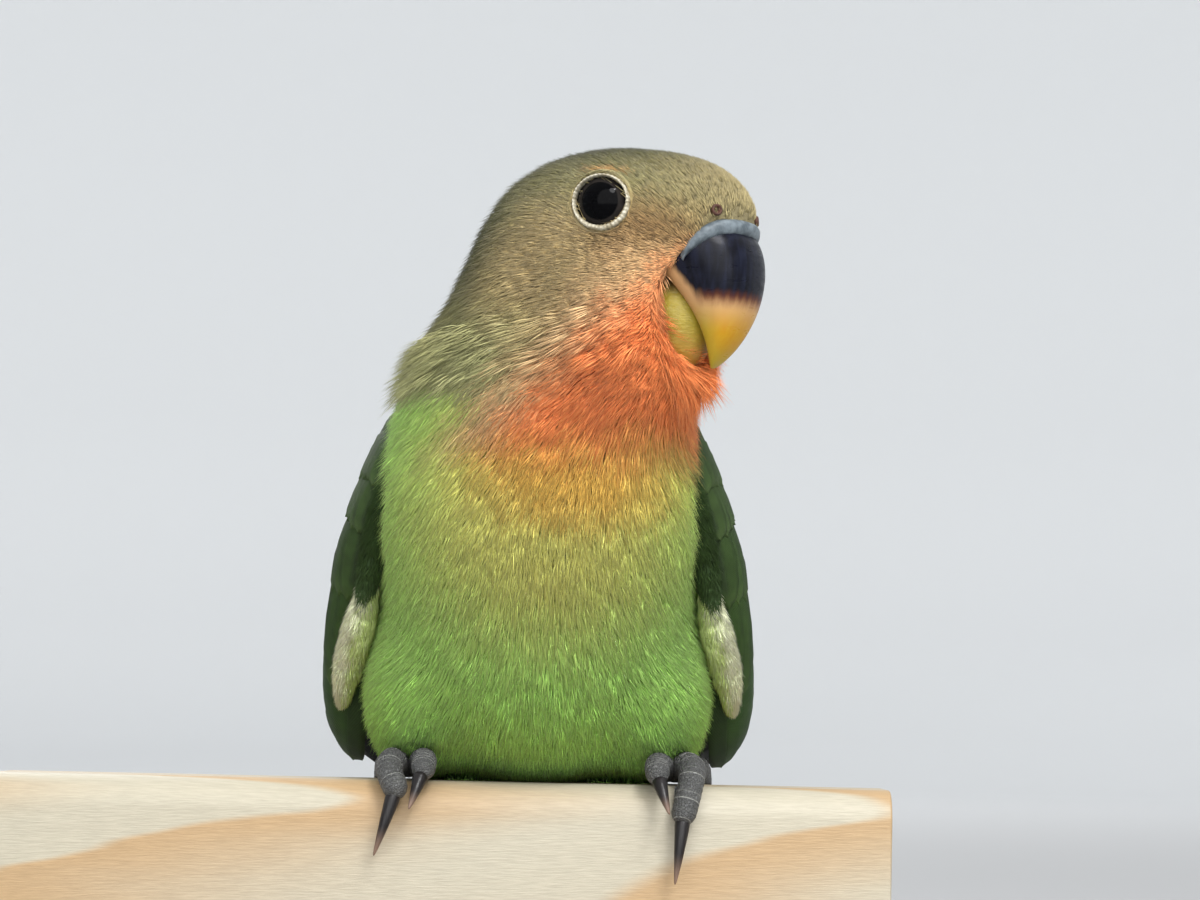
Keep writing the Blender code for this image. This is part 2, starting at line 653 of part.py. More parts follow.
def bill_pieces():
    """The two mandibles: a deep hooked upper one and a rounded lower one behind it."""
    culmen, tomium = bezier(CULMEN, BILL_RINGS), bezier(TOMIUM, BILL_RINGS)
    turn = np.linspace(0, 2 * math.pi, BILL_SIDES, endpoint=False)
    rings = []
    for index in range(BILL_RINGS):
        share = index / (BILL_RINGS - 1)
        width = BILL_HALF_WIDTH * (1 - share**1.7) ** 0.75 + 0.35 * share
        middle, half = 0.5 * (culmen[index] + tomium[index]), 0.5 * (culmen[index] - tomium[index])
        out = np.cos(turn)
        fullness = np.where(out > 0, 0.8, 0.3)
        spread = np.abs(np.sin(turn)) ** fullness * np.sign(np.sin(turn))
        ring = np.column_stack((middle[0] + half[0] * out, width * spread, middle[1] + half[1] * out))
        rings.append(from_head(ring))
    points, faces = capped_tube(rings)
    upper = new_object("bill_upper", points, faces, (0.04, 0.04, 0.06), 0.3)
    lower = ball("bill_lower", LOWER_BILL_MIDDLE, LOWER_BILL_RADII, (0.62, 0.55, 0.18), 0.4)
    cut(lower, grown("upper grown", upper, GAP))
    finish(lower, (0.62, 0.55, 0.18), 0.4)
    return upper, lower


def ball(name, middle, radii, colour=None, roughness=0.5, rings=10, sides=20):
    """A rounded form in the head's frame."""
    points, faces = [], []
    turn = np.linspace(0, 2 * math.pi, sides, endpoint=False)
    for lift in np.linspace(-math.pi / 2, math.pi / 2, rings + 2)[1:-1]:
        out = math.cos(lift)
        points.append(np.column_stack((np.cos(turn) * out, np.sin(turn) * out, np.full(sides, math.sin(lift)))))
    points.append(np.array(((0.0, 0.0, -1.0), (0.0, 0.0, 1.0))))
    points = np.vstack(points)
    faces = grid_faces(rings, sides)
    for side in range(sides):
        after = (side + 1) % sides
        faces.append((after, side, rings * sides))
        faces.append(((rings - 1) * sides + side, (rings - 1) * sides + after, rings * sides + 1))
    return new_object(name, from_head(points * np.asarray(radii) + np.asarray(middle)), faces, colour, roughness)


def lid(side):
    """The beaded ring of bare skin round one eye."""
    sign = 1.0 if side == "left" else -1.0
    turn = math.radians(EYE_FORWARD)
    out = np.array((math.sin(turn), math.cos(turn) * sign, 0.0))
    ahead = np.array((math.cos(turn), -math.sin(turn) * sign, 0.0))
    middle = np.array((EYE_CENTRE[0], EYE_CENTRE[1] * sign, EYE_CENTRE[2])) + out * LID_OUT
    around = np.linspace(0, 2 * math.pi, LID_RINGS, endpoint=False)
    small = np.linspace(0, 2 * math.pi, LID_SIDES, endpoint=False)
    upward = np.array((0.0, 0.0, 1.0))
    points = []
    for angle in around:
        way = ahead * math.cos(angle) + upward * math.sin(angle)
        reach = ahead * LID_RADII[0] * math.cos(angle) + upward * LID_RADII[1] * math.sin(angle)
        section = np.outer(np.cos(small), way) * LID_THICKNESS + np.outer(np.sin(small), out) * LID_HALF_HEIGHT
        points.append(middle + reach + section)
    faces = []
    for ring in range(LID_RINGS):
        this, after = ring * LID_SIDES, (ring + 1) % LID_RINGS * LID_SIDES
        for place in range(LID_SIDES):
            following = (place + 1) % LID_SIDES
            faces.append((this + place, this + following, after + following, after + place))
    return new_object("lid " + side, from_head(np.vstack(points)), faces)


def foot(side, growth=0.0):
    """One foot, two toes ahead and two behind, in one with the ankle."""
    sign = 1.0 if side == "left" else -1.0
    pieces = []
    shift = (FEET_X, 0.0, 0.0)
    radii = np.array(ANKLE_RADII) + growth
    points, faces = round_tube(np.array((ANKLE, SOLE)) * (sign, 1, 1) + shift, radii, 10)
    pieces.append(new_object("ankle", points, faces))
    for toe in TOES:
        line = smooth_curve([SOLE] + toe_points(toe, side), 6) * (sign, 1, 1) + shift
        radii = np.linspace(*TOE_RADII[toe], len(line)) + growth
        points, faces = round_tube(line, radii, 7)
        pieces.append(new_object(toe, points, faces))
    return join("foot_" + side, pieces)


def toe_points(toe, side):
    """The points that a toe runs through beyond the sole."""
    points = [point for point in TOES[toe]]
    if points[-1][2] is None:
        points[-1] = (*points[-1][:2], OUTER_DROP[side])
    return points


def claw(toe, side):
    """One claw, curving down from its toe's end."""
    sign = 1.0 if side == "left" else -1.0
    length, way = CLAWS[toe]
    way = unit((OUTER_LEAN[side] if way[0] is None else way[0], *way[1:]))
    start = np.array(toe_points(toe, side)[-1]) + way * TOE_RADII[toe][1]
    hollow = unit(np.cross(np.cross(way, (0.0, 1.0 if toe.endswith("front") else -1.0, 0.3)), way))
    share = np.linspace(0, 1, 6)[:, None]
    line = start + way * length * share + hollow * length * CLAW_BEND * (share**2 - 0.4 * share)
    radii = CLAW_RADIUS * (1 - share[:, 0]) ** 0.75 + CLAW_TIP
    points, faces = round_tube(line * (sign, 1, 1) + (FEET_X, 0.0, 0.0), radii, 6, 1)
    return new_object("claw_" + side + "_" + toe, points, faces, (0.05, 0.04, 0.04), 0.35)


def rounded_box(name, size, middle, edge, segments, colour, long_edges_only=False):
    """A box with rounded edges, standing on the plane of its middle point."""
    low = (middle[0] - size[0] / 2, middle[1] - size[1] / 2, middle[2])
    high = (middle[0] + size[0] / 2, middle[1] + size[1] / 2, middle[2] + size[2])
    built = box(name, low, high, in_bird=False)
    body = bmesh.new()
    body.from_mesh(built.data)
    edges = []
    for line in body.edges:
        ends = [vertex.co for vertex in line.verts]
        at_top = min(end.z for end in ends) > (high[2] - 0.01) * MM
        along_x = abs(ends[0].y - ends[1].y) < 1e-9 and at_top
        if along_x if long_edges_only else at_top or abs(ends[0].z - ends[1].z) > 1e-9:
            edges.append(line)
    bmesh.ops.bevel(body, geom=edges, offset=edge * MM, segments=segments, profile=0.5, affect="EDGES")
    body.to_mesh(built.data)
    body.free()
    finish(built, colour)
    return built


def stand():
    """The base, the two short rods and the bar that the bird grips."""
    rounded_box("stand_base", BASE_SIZE, (0.0, 0.0, 0.0), BASE_EDGE, 3, (0.62, 0.48, 0.30))
    for side, sign in (("left", 1.0), ("right", -1.0)):
        start = (sign * ROD_SPREAD, -BASE_BEHIND_BAR, BASE_SIZE[2] + GAP)
        turn = np.linspace(0, 2 * math.pi, ROD_SIDES, endpoint=False)
        circle = np.column_stack((np.cos(turn), np.sin(turn), np.zeros(ROD_SIDES))) * ROD_RADIUS
        rings = [circle + start, circle + start + (0.0, 0.0, ROD_LENGTH)]
        points, faces = capped_tube(rings)
        new_object("stand_rod_" + side, points, faces, (0.55, 0.55, 0.56), 0.3, in_bird=False)
    middle = (0.0, -BASE_BEHIND_BAR, BAR_TOP - BAR_SIZE[2])
    return rounded_box("perch_bar", BAR_SIZE, middle, BAR_ROUND, 4, (0.84, 0.66, 0.44), long_edges_only=True)


def build():
    """Make every piece, and part the body where its pieces meet."""
    for old in list(bpy.data.objects):
        bpy.data.objects.remove(old)
    bar = stand()
    points, faces = body_surface()
    whole = new_object("torso", points, faces, (0.36, 0.55, 0.22))
    cut(whole, grown("bar grown", bar, GAP))

    upper, lower = bill_pieces()
    feet = {side: foot(side) for side in ("left", "right")}
    for side, made in feet.items():
        cut(made, grown("bar grown", bar, GAP))
        finish(made, (0.32, 0.32, 0.33))
        for toe in TOES:
            nail = claw(toe, side)
            cut(nail, grown("bar grown", bar, GAP))
            cut(nail, grown("foot grown", made, GAP))
            finish(nail, (0.05, 0.04, 0.04), 0.35)

    hind = tail()
    left_wing = wing()
    cut(left_wing, half_space("other side", (0.0, 0.0, 0.0), (1.0, 0.0, 0.0), above=False))
    cut(left_wing, grown("body grown", whole, GAP))
    cut(left_wing, grown("tail grown", hind, GAP))
    for made in (left_wing, mirrored("wing_right", left_wing)):
        finish(made, (0.10, 0.20, 0.06))

    for side in ("left", "right"):
        cut(whole, foot(side, GAP))
    legs = {}
    for side, sign in (("left", 1.0), ("right", -1.0)):
        low = np.array(LEG_BOX[0]) * (sign, 1, 1)
        high = np.array(LEG_BOX[1]) * (sign, 1, 1)
        leg = grown("leg_" + side, whole, 0.0)
        cut(leg, box("leg box", low, high), "INTERSECT")
        finish(leg, (0.24, 0.42, 0.14))
        legs[side] = leg
        cut(whole, box("leg space", low - (GAP * sign, GAP, GAP), high + (GAP * sign, GAP, GAP)))

    neck, head = grown("neck", whole, 0.0), grown("head", whole, 0.0)
    cut(whole, half_space("above neck", *NECK_CUT, above=True))
    cut(whole, half_space("behind", *TAIL_CUT, above=False))
    cut(neck, half_space("below neck", *NECK_CUT, above=False))
    cut(neck, half_space("above head", *HEAD_CUT, above=True))
    cut(head, half_space("below head", *HEAD_CUT, above=False))
    cut(hind, half_space("ahead", *TAIL_CUT, above=True))

    for side, sign in (("left", 1.0), ("right", -1.0)):
        place = (EYE_CENTRE[0], EYE_CENTRE[1] * sign, EYE_CENTRE[2])
        eye = ball("eye_" + side, place, (EYE_RADIUS,) * 3, (0.01, 0.01, 0.01), 0.05, 8, 16)
        head = join("head", [head, lid(side)])
        cut(head, grown("eye grown", eye, GAP))
        hole = ball("nostril", (NOSTRIL[0], NOSTRIL[1] * sign, NOSTRIL[2]), NOSTRIL_RADII, rings=5, sides=8)
        cut(head, hole)
    for mandible in (upper, lower):
        cut(head, grown("bill grown", mandible, GAP))
        cut(neck, grown("bill grown", mandible, GAP))
    finish(head, (0.36, 0.36, 0.22))
    finish(neck, (0.88, 0.42, 0.26))
    finish(whole, (0.36, 0.55, 0.22))
    finish(hind, (0.13, 0.26, 0.07))


build()
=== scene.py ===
import math

import bmesh
import bpy
import numpy as np
from mathutils import Matrix, Vector


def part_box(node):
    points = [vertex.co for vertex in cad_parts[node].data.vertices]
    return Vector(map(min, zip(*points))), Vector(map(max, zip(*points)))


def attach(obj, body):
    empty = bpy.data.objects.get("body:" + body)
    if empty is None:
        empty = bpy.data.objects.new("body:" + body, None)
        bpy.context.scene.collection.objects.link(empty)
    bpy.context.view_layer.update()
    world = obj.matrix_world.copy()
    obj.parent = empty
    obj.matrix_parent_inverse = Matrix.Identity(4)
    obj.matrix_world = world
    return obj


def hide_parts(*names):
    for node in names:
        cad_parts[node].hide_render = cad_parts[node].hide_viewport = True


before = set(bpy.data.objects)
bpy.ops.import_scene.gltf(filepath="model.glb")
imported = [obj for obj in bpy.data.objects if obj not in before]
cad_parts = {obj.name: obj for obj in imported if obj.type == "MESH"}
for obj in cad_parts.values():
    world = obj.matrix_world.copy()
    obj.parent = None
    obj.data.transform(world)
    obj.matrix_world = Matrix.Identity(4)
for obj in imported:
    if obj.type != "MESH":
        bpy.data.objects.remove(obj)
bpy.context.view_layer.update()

# The view and the light. A long lens stands level with the bar and looks a little up, and soft lamps light a
# pale round sweep, which is the floor and the backdrop in one. The bird's own frame has its origin on the
# bar's top, midway between the feet, with x to the viewer's right, y away and z up, and its sizes are in
# millimetres.
MM = 0.001
FEET_SHIFT = (11.4, 0.6)
CAMERA_PLACE = (7.2, -420.0, 8.0)
CAMERA_TARGET = (7.2, 0.0, 41.57)
CAMERA_ROLL = 1.2
FOCAL_LENGTH, SENSOR_WIDTH = 100.8, 36.0
SWEEP = ((0.0, 0.0), (1.9, 0.0), (2.15, 0.03), (2.35, 0.12), (2.5, 0.3), (2.56, 0.6), (2.58, 1.8))
SWEEP_STEPS = 96
LIGHT_TARGET = (0.0, 0.0, 0.07)
ROOM_LIGHT = 0.78
SOFT_LAMPS = (
    # name, place, width, watts
    ("key_light", (0.42, -1.0, 1.15), 0.5, 13.0),
    ("catch_light", (0.475, -0.62, 1.0), 0.06, 2.2),
    ("fill_light", (0.1, -1.3, 0.3), 2.2, 31.0),
    ("top_light", (0.1, 0.1, 1.5), 1.0, 2.5),
    ("back_light", (-0.6, 1.3, 0.9), 0.8, 8.0),
)
bar_low, bar_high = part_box("perch_bar")
BIRD_ORIGIN = np.array((
    (bar_low.x + bar_high.x) / 2 + FEET_SHIFT[0] * MM,
    (bar_low.y + bar_high.y) / 2 + FEET_SHIFT[1] * MM,
    bar_high.z,
))


def place_of(points):
    """Points of the bird's frame, in millimetres, as places in the room."""
    return np.asarray(points, float) * MM + BIRD_ORIGIN


def shown(name, data):
    """An object with these data, put in the scene."""
    made = bpy.data.objects.new(name, data)
    bpy.context.scene.collection.objects.link(made)
    return made


def node(tree, kind, inputs=None, **settings):
    """A shader node with its settings, and with sockets or plain values on its inputs."""
    made = tree.nodes.new(kind)
    for name, value in settings.items():
        setattr(made, name, value)
    for key, value in (inputs or {}).items():
        if isinstance(value, bpy.types.NodeSocket):
            tree.links.new(value, made.inputs[key])
        else:
            made.inputs[key].default_value = value
    return made


def feed(taker, label, socket):
    """Link a socket to a named input of a node."""
    taker.id_data.links.new(socket, taker.inputs[label])


def finish_of(name, roughness=0.6, specular=0.5, **constants):
    """A material's tree and its Principled shader, whose plain values are set on its own sockets."""
    material = bpy.data.materials.new(name)
    material.use_nodes = True
    shader = material.node_tree.nodes["Principled BSDF"]
    shader.inputs["Roughness"].default_value = roughness
    shader.inputs["Specular IOR Level"].default_value = specular
    for label, value in constants.items():
        shader.inputs[label.replace("_", " ").title()].default_value = value
    return material, material.node_tree, shader


def tint(red, green, blue):
    """A colour given as it looks on a screen, from 0 to 255, as linear light."""
    parts = [value / 255 for value in (red, green, blue)]
    return tuple(part / 12.92 if part <= 0.04045 else ((part + 0.055) / 1.055) ** 2.4 for part in parts) + (
        1.0,
    )


def vector_node(tree, operation, first, second=(0.0, 0.0, 0.0), output=0):
    """A result socket of a Vector Math node."""
    return node(tree, "ShaderNodeVectorMath", {0: first, 1: second}, operation=operation).outputs[output]


def object_place(tree):
    """Where a point is on its object."""
    return node(tree, "ShaderNodeTexCoord").outputs["Object"]


def ranged(tree, value, low, high, first=0.0, last=1.0, way="LINEAR"):
    """A value that runs from one number to another between two limits."""
    inputs = {0: value, 1: low, 2: high, 3: first, 4: last}
    return node(tree, "ShaderNodeMapRange", inputs, interpolation_type=way).outputs[0]


def ease(tree, value, low, high, first=0.0, last=1.0):
    """A smooth step from one value to another between two limits."""
    return ranged(tree, value, low, high, first, last, "SMOOTHSTEP")


def blended(tree, share, below, above, mode="MIX"):
    """The colour socket of a Mix node."""
    inputs = {0: share, 6: below, 7: above}
    return node(tree, "ShaderNodeMix", inputs, data_type="RGBA", blend_type=mode).outputs[2]


eye_point = Vector(place_of(CAMERA_PLACE))
view_line = Vector(place_of(CAMERA_TARGET)) - eye_point
lens = bpy.data.cameras.new("camera")
lens.lens, lens.sensor_width = FOCAL_LENGTH, SENSOR_WIDTH
lens.clip_start = 0.01
camera = shown("camera", lens)
turned = view_line.to_track_quat("-Z", "Y").to_matrix() @ Matrix.Rotation(math.radians(CAMERA_ROLL), 3, "Z")
camera.matrix_world = Matrix.Translation(eye_point) @ turned.to_4x4()
bpy.context.scene.camera = camera
bpy.context.scene.view_settings.view_transform = "Standard"

for name, place, width, watts in SOFT_LAMPS:
    lamp = bpy.data.lights.new(name, "AREA")
    lamp.shape, lamp.size, lamp.energy = "DISK", width, watts
    held = shown(name, lamp)
    held.location = place
    held.rotation_euler = (Vector(LIGHT_TARGET) - Vector(place)).to_track_quat("-Z", "Y").to_euler()
room = bpy.data.worlds.new("room light")
room.use_nodes = True
room.node_tree.nodes["Background"].inputs["Color"].default_value = (0.97, 0.98, 1.0, 1.0)
room.node_tree.nodes["Background"].inputs["Strength"].default_value = ROOM_LIGHT
bpy.context.scene.world = room

sweep_mesh = bpy.data.meshes.new("sweep")
profile = bmesh.new()
rim = [profile.verts.new((reach, 0.0, lift)) for reach, lift in SWEEP]
edges = [profile.edges.new(pair) for pair in zip(rim, rim[1:])]
full_turn = {
    "axis": (0, 0, 1), "cent": (0, 0, 0), "angle": 2 * math.pi, "steps": SWEEP_STEPS, "use_merge": True,
}
bmesh.ops.spin(profile, geom=rim + edges, **full_turn)
bmesh.ops.remove_doubles(profile, verts=profile.verts, dist=1e-5)
profile.to_mesh(sweep_mesh)
profile.free()
sweep_mesh.shade_smooth()
sweep = shown("sweep", sweep_mesh)
paper, tree, shader = finish_of("pale paper", 0.9)
flat = vector_node(tree, "MULTIPLY", object_place(tree), (1.0, 1.0, 0.0))
reach = vector_node(tree, "LENGTH", flat, output="Value")
# Painted shade: the paper is darker towards the middle of the floor, round the stand, and paler out to the
# wall.
feed(
    shader, "Base Color",
    blended(tree, ease(tree, reach, 0.5, 2.3), tint(162, 163, 164), tint(226, 228, 229)),
)
sweep_mesh.materials.append(paper)


# The perch and its stand. The bar is a planed length of pine with a rounded front and back, sawn square at
# its ends, on a plain base of darker wood. Two short steel rods, turned and polished, carry the bar over the
# base.
BAR_ROUND, BAR_END_ROUND = 4.0, 0.35
BASE_ROUND = 2.0
ROD_CHAMFER = 0.3
ROD_SIDES = 64
SHARP_ANGLE = 40
SAME = 1e-6
PINE_RING_WIDTH, OAK_RING_WIDTH = 5.0, 4.2


def new_group(name, inputs, outputs):
    """A shader node group with named sockets, and its input and output nodes."""
    group = bpy.data.node_groups.new(name, "ShaderNodeTree")
    for label, kind, default in inputs:
        socket = group.interface.new_socket(label, in_out="INPUT", socket_type="NodeSocket" + kind)
        if default is not None:
            socket.default_value = default
    for label, kind in outputs:
        group.interface.new_socket(label, in_out="OUTPUT", socket_type="NodeSocket" + kind)
    return group, group.nodes.new("NodeGroupInput"), group.nodes.new("NodeGroupOutput")


def use_of(tree, group, **values):
    """A node that uses a shader node group, with sockets or plain values on its named inputs."""
    inputs = {label.replace("_", " ").title(): value for label, value in values.items()}
    return node(tree, "ShaderNodeGroup", inputs, node_tree=group)


def math_node(tree, operation, first, second=0.0):
    """The result socket of a Math node."""
    return node(tree, "ShaderNodeMath", {0: first, 1: second}, operation=operation).outputs[0]


def plus(tree, first, second):
    """The sum of two values."""
    return math_node(tree, "ADD", first, second)


def minus(tree, first, second):
    """The first value less the second."""
    return math_node(tree, "SUBTRACT", first, second)


def times(tree, first, *others):
    """The product of two or more values."""
    for other in others:
        first = math_node(tree, "MULTIPLY", first, other)
    return first


def noise(tree, place, scale, detail=2.0, roughness=0.5, output=0):
    """A result socket of a noise."""
    inputs = {"Vector": place, "Scale": scale, "Detail": detail, "Roughness": roughness}
    return node(tree, "ShaderNodeTexNoise", inputs).outputs[output]


def stretched(tree, place, scale):
    """A place with its three parts scaled, each by its own factor."""
    return node(tree, "ShaderNodeMapping", {"Vector": place, "Scale": scale}).outputs[0]


def scaled(tree, place, factor):
    """A place scaled evenly."""
    return node(tree, "ShaderNodeVectorMath", {0: place, "Scale": factor}, operation="SCALE").outputs[0]


def shaded(tree, colour, shade):
    """A colour made darker or paler by a number."""
    grey = node(tree, "ShaderNodeCombineColor", {0: shade, 1: shade, 2: shade}).outputs[0]
    return blended(tree, 1.0, colour, grey, "MULTIPLY")


def bumped(shader, height, distance, strength=1.0):
    """Give a shader the relief of a height."""
    inputs = {"Height": height, "Distance": distance, "Strength": strength}
    feed(shader, "Normal", node(shader.id_data, "ShaderNodeBump", inputs).outputs[0])


def wood_grain_group():
    """Growth rings cut along a log: pale early wood, darker late wood that ends sharply, and fine fibres."""
    group, given, made = new_group(
        "wood grain",
        (
            ("Place", "Vector", None),
            ("Ring Width", "Float", PINE_RING_WIDTH),
            ("Early Wood", "Color", tint(236, 218, 184)),
            ("Late Wood", "Color", tint(222, 168, 104)),
        ),
        (("Color", "Color"), ("Height", "Float"), ("Roughness", "Float")),
    )
    place = given.outputs["Place"]
    slow = noise(group, stretched(group, place, (0.12, 1.0, 1.0)), 0.09, 3.0)
    _, across, up = node(group, "ShaderNodeSeparateXYZ", {0: place}).outputs
    squares = plus(group, math_node(group, "POWER", across, 2.0), math_node(group, "POWER", up, 2.0))
    radius = plus(group, math_node(group, "SQRT", squares), times(group, slow, 3.0))
    ring = math_node(group, "FRACT", math_node(group, "DIVIDE", radius, given.outputs["Ring Width"]))
    late = times(group, ease(group, ring, 0.25, 0.93), ease(group, ring, 0.93, 1.0, 1.0, 0.0))
    fibre = noise(group, stretched(group, place, (0.05, 2.4, 2.4)), 2.0, 4.0, 0.65)
    coloured = blended(group, late, given.outputs["Early Wood"], given.outputs["Late Wood"])
    feed(made, "Color", shaded(group, coloured, ease(group, fibre, 0.3, 0.75, 0.9, 1.06)))
    feed(made, "Height", plus(group, times(group, fibre, 0.7), times(group, late, 0.3)))
    feed(made, "Roughness", ease(group, fibre, 0.2, 0.8, 0.62, 0.46))
    return group


def wood(name, log_place, log_turn, ring_width, early, late):
    """A wood finish, its log's heart at a place and turned from the long axis, in millimetres and degrees."""
    material, tree, shader = finish_of(name, 0.55)
    turn = [math.radians(value) for value in log_turn]
    place = scaled(tree, object_place(tree), 1.0 / MM)
    log = node(tree, "ShaderNodeMapping", {"Vector": place, "Location": log_place, "Rotation": turn}).outputs[
        0
    ]
    grain = use_of(tree, wood_grain, place=log, ring_width=ring_width, early_wood=early, late_wood=late)
    feed(shader, "Base Color", grain.outputs["Color"])
    feed(shader, "Roughness", grain.outputs["Roughness"])
    bumped(shader, grain.outputs["Height"], 0.00012, 0.7)
    return material


def level(line, axis):
    """Whether both ends of an edge are at the same place on an axis."""
    return abs(line.verts[0].co[axis] - line.verts[1].co[axis]) < SAME


def rounded(shape, lines, radius, segments):
    """Round some edges of a shape by a radius in millimetres."""
    bmesh.ops.bevel(shape, geom=lines, offset=radius * MM, segments=segments, profile=0.5, affect="EDGES")


def stand_piece(name, shape, material, cad_node):
    """A piece in place of one solid, smooth but for its sharp edges."""
    mesh = bpy.data.meshes.new(name)
    shape.to_mesh(mesh)
    shape.free()
    mesh.shade_smooth()
    mesh.set_sharp_from_angle(angle=math.radians(SHARP_ANGLE))
    mesh.materials.append(material)
    built = shown(name, mesh)
    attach(built, "root")
    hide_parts(cad_node)


def wood_block(cad_node):
    """A block as large as its solid, and the edges of its top."""
    low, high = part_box(cad_node)
    shape = bmesh.new()
    bmesh.ops.create_cube(shape, size=1.0)
    for corner in shape.verts:
        corner.co = Vector(low[k] if corner.co[k] < 0 else high[k] for k in range(3))
    return shape, [line for line in shape.edges if all(end.co.z > high.z - SAME for end in line.verts)]


wood_grain = wood_grain_group()
pine_log = ((0.0, 0.0, -23.5), (0.0, 1.4, 4.0), PINE_RING_WIDTH)
oak_log = ((0.0, 12.0, 30.0), (1.0, 4.0, 6.0), OAK_RING_WIDTH)
pine = wood("planed pine", *pine_log, tint(174, 167, 148), tint(170, 142, 104))
oak = wood("base wood", *oak_log, tint(158, 124, 84), tint(126, 90, 56))
bar, top_edges = wood_block("perch_bar")
rounded(bar, [line for line in top_edges if level(line, 1)], BAR_ROUND, 12)
rounded(bar, [line for line in bar.edges if level(line, 0)], BAR_END_ROUND, 3)
stand_piece("perch", bar, pine, "perch_bar")
base, top_edges = wood_block("stand_base")
rounded(base, top_edges + [line for line in base.edges if not level(line, 2)], BASE_ROUND, 6)
stand_piece("base", base, oak, "stand_base")

steel, tree, shader = finish_of("polished steel", 0.3, metallic=1.0)
turned_marks = noise(tree, stretched(tree, object_place(tree), (60.0, 60.0, 9000.0)), 1.0)
feed(shader, "Base Color", blended(tree, turned_marks, tint(150, 152, 156), tint(196, 198, 200)))
feed(shader, "Roughness", ease(tree, turned_marks, 0.2, 0.8, 0.22, 0.38))
for side in ("left", "right"):
    low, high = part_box("stand_rod_" + side)
    radius = (high.x - low.x) / 2
    rod = bmesh.new()
    sizes = {"radius1": radius, "radius2": radius, "depth": high.z - low.z}
    middle = Matrix.Translation((low + high) / 2)
    bmesh.ops.create_cone(rod, segments=ROD_SIDES, cap_ends=True, matrix=middle, **sizes)
    rounded(rod, [line for line in rod.edges if level(line, 2)], ROD_CHAMFER, 2)
    stand_piece("rod_" + side, rod, steel, "stand_rod_" + side)


# The skin. One closed surface under the feathers of the head, neck, trunk and thighs, in place of those
# solids. It is the same soft union of rounded forms as theirs, and lies inside it by the depth of the coat,
# so that the tips of the feathers reach the solids' surface. Its colours are those of the feathers over it,
# darker, as painted shade deep in the coat, like the painted shade at the feathers' roots.
HEAD_ORIGIN = np.array((11.4, -18.4, 68.7))
HEAD_YAW, HEAD_PITCH = 60.0, -2.0
FORMS = (
    # middle, radii, lean
    ((0.0, 4.0, 32.0), (20.6, 33.0, 19.5), 50.0),
    ((0.0, -7.5, 32.0), (20.3, 21.0, 17.0), 68.0),
    ((0.0, 0.5, 16.5), (20.2, 18.5, 17.0), 25.0),
    ((0.0, 26.0, 17.0), (12.5, 20.0, 10.5), 42.0),
    ((1.2, -9.0, 48.0), (16.6, 15.0, 15.5), 0.0),
    ((4.7, -11.0, 60.9), (14.5, 12.6, 12.8), 0.0),
    ((14.6, 1.0, 9.5), (7.0, 11.5, 9.4), 0.0),
    ((-14.6, 1.0, 9.5), (7.0, 11.5, 9.4), 0.0),
)
HEAD_FORMS = (
    ((-2.1, 0.0, -0.8), (15.4, 11.2, 8.8)),
    ((7.2, 0.0, -1.6), (7.0, 7.2, 6.2)),
    ((-1.0, 0.0, -8.5), (9.0, 11.2, 9.4)),
    ((0.4, 0.0, -17.0), (8.6, 9.8, 9.6)),
)
BLEND = 5.0
SOCKET = ((11.0, 0.0, -11.2), (6.4, 7.6, 7.2))
SOCKET_BLEND = 1.5
SPINE = (
    (0.0, 34.0, 12.0), (0.0, 20.0, 23.0), (0.0, 4.0, 33.0), (1.0, -7.0, 46.0), (5.0, -11.5, 59.0), (
        9.6, -14.8, 67.5,
    ),
)
SKIN_RINGS, SKIN_END_RINGS, SKIN_SIDES = 76, 22, 120
REACH, REACH_STEP = 60.0, 1.5
HALVINGS = 13
FACE_MIDDLE = (7.0, 0.0, -2.5)
FACE_REACH = (8.0, 27.0)
COAT_DEPTH = (0.45, 1.7)
BILL_ROOT = (11.5, 0.0, -6.5)
BAR_CLEAR = 0.04
BAR_HALF_DEPTH = 10.6
BAR_MIDDLE_Y = -0.6
BODY_PATCHES = (
    # middle, radii, softness, colour
    ((2.0, -26.0, 36.0), (16.0, 24.0, 15.0), 0.6, tint(212, 210, 116)),
    ((5.0, -26.0, 40.0), (11.0, 24.0, 6.0), 0.6, tint(214, 174, 84)),
    # Painted shade: the low front of the belly, over the bar, is painted a darker green.
    ((0.0, -14.0, -1.0), (26.0, 20.0, 5.0), 0.7, tint(112, 158, 64)),
    ((0.0, 25.0, 42.0), (33.0, 25.0, 36.0), 0.25, tint(58, 100, 40)),
    ((0.0, 40.0, 22.0), (16.0, 16.0, 12.0), 0.3, tint(44, 112, 160)),
    ((0.0, 36.0, 2.0), (16.0, 18.0, 9.0), 0.3, tint(122, 164, 72)),
)
HEAD_PATCHES = (
    ((-16.0, 0.0, -2.0), (12.0, 9.0, 12.0), 0.5, tint(66, 68, 36)),
    ((12.0, 0.0, 2.0), (10.0, 9.0, 7.0), 0.6, tint(144, 132, 94)),
    ((-4.0, 11.0, -7.0), (9.0, 8.0, 7.0), 0.6, tint(186, 164, 116)),
    ((6.0, 8.0, -5.0), (7.0, 6.0, 5.0), 0.6, tint(144, 116, 76)),
    ((0.8, 8.6, 3.9), (2.6, 4.0, 0.6), 0.5, tint(190, 152, 98)),
    ((-3.0, 0.0, 9.0), (13.0, 10.0, 5.0), 0.6, tint(66, 66, 38)),
)


def unit(vectors):
    """Vectors at length one."""
    return vectors / np.maximum(np.linalg.norm(vectors, axis=-1, keepdims=True), 1e-9)


def beside(vectors, normal):
    """Vectors laid flat against the surface with these unit normals."""
    return vectors - normal * np.sum(vectors * normal, axis=-1, keepdims=True)


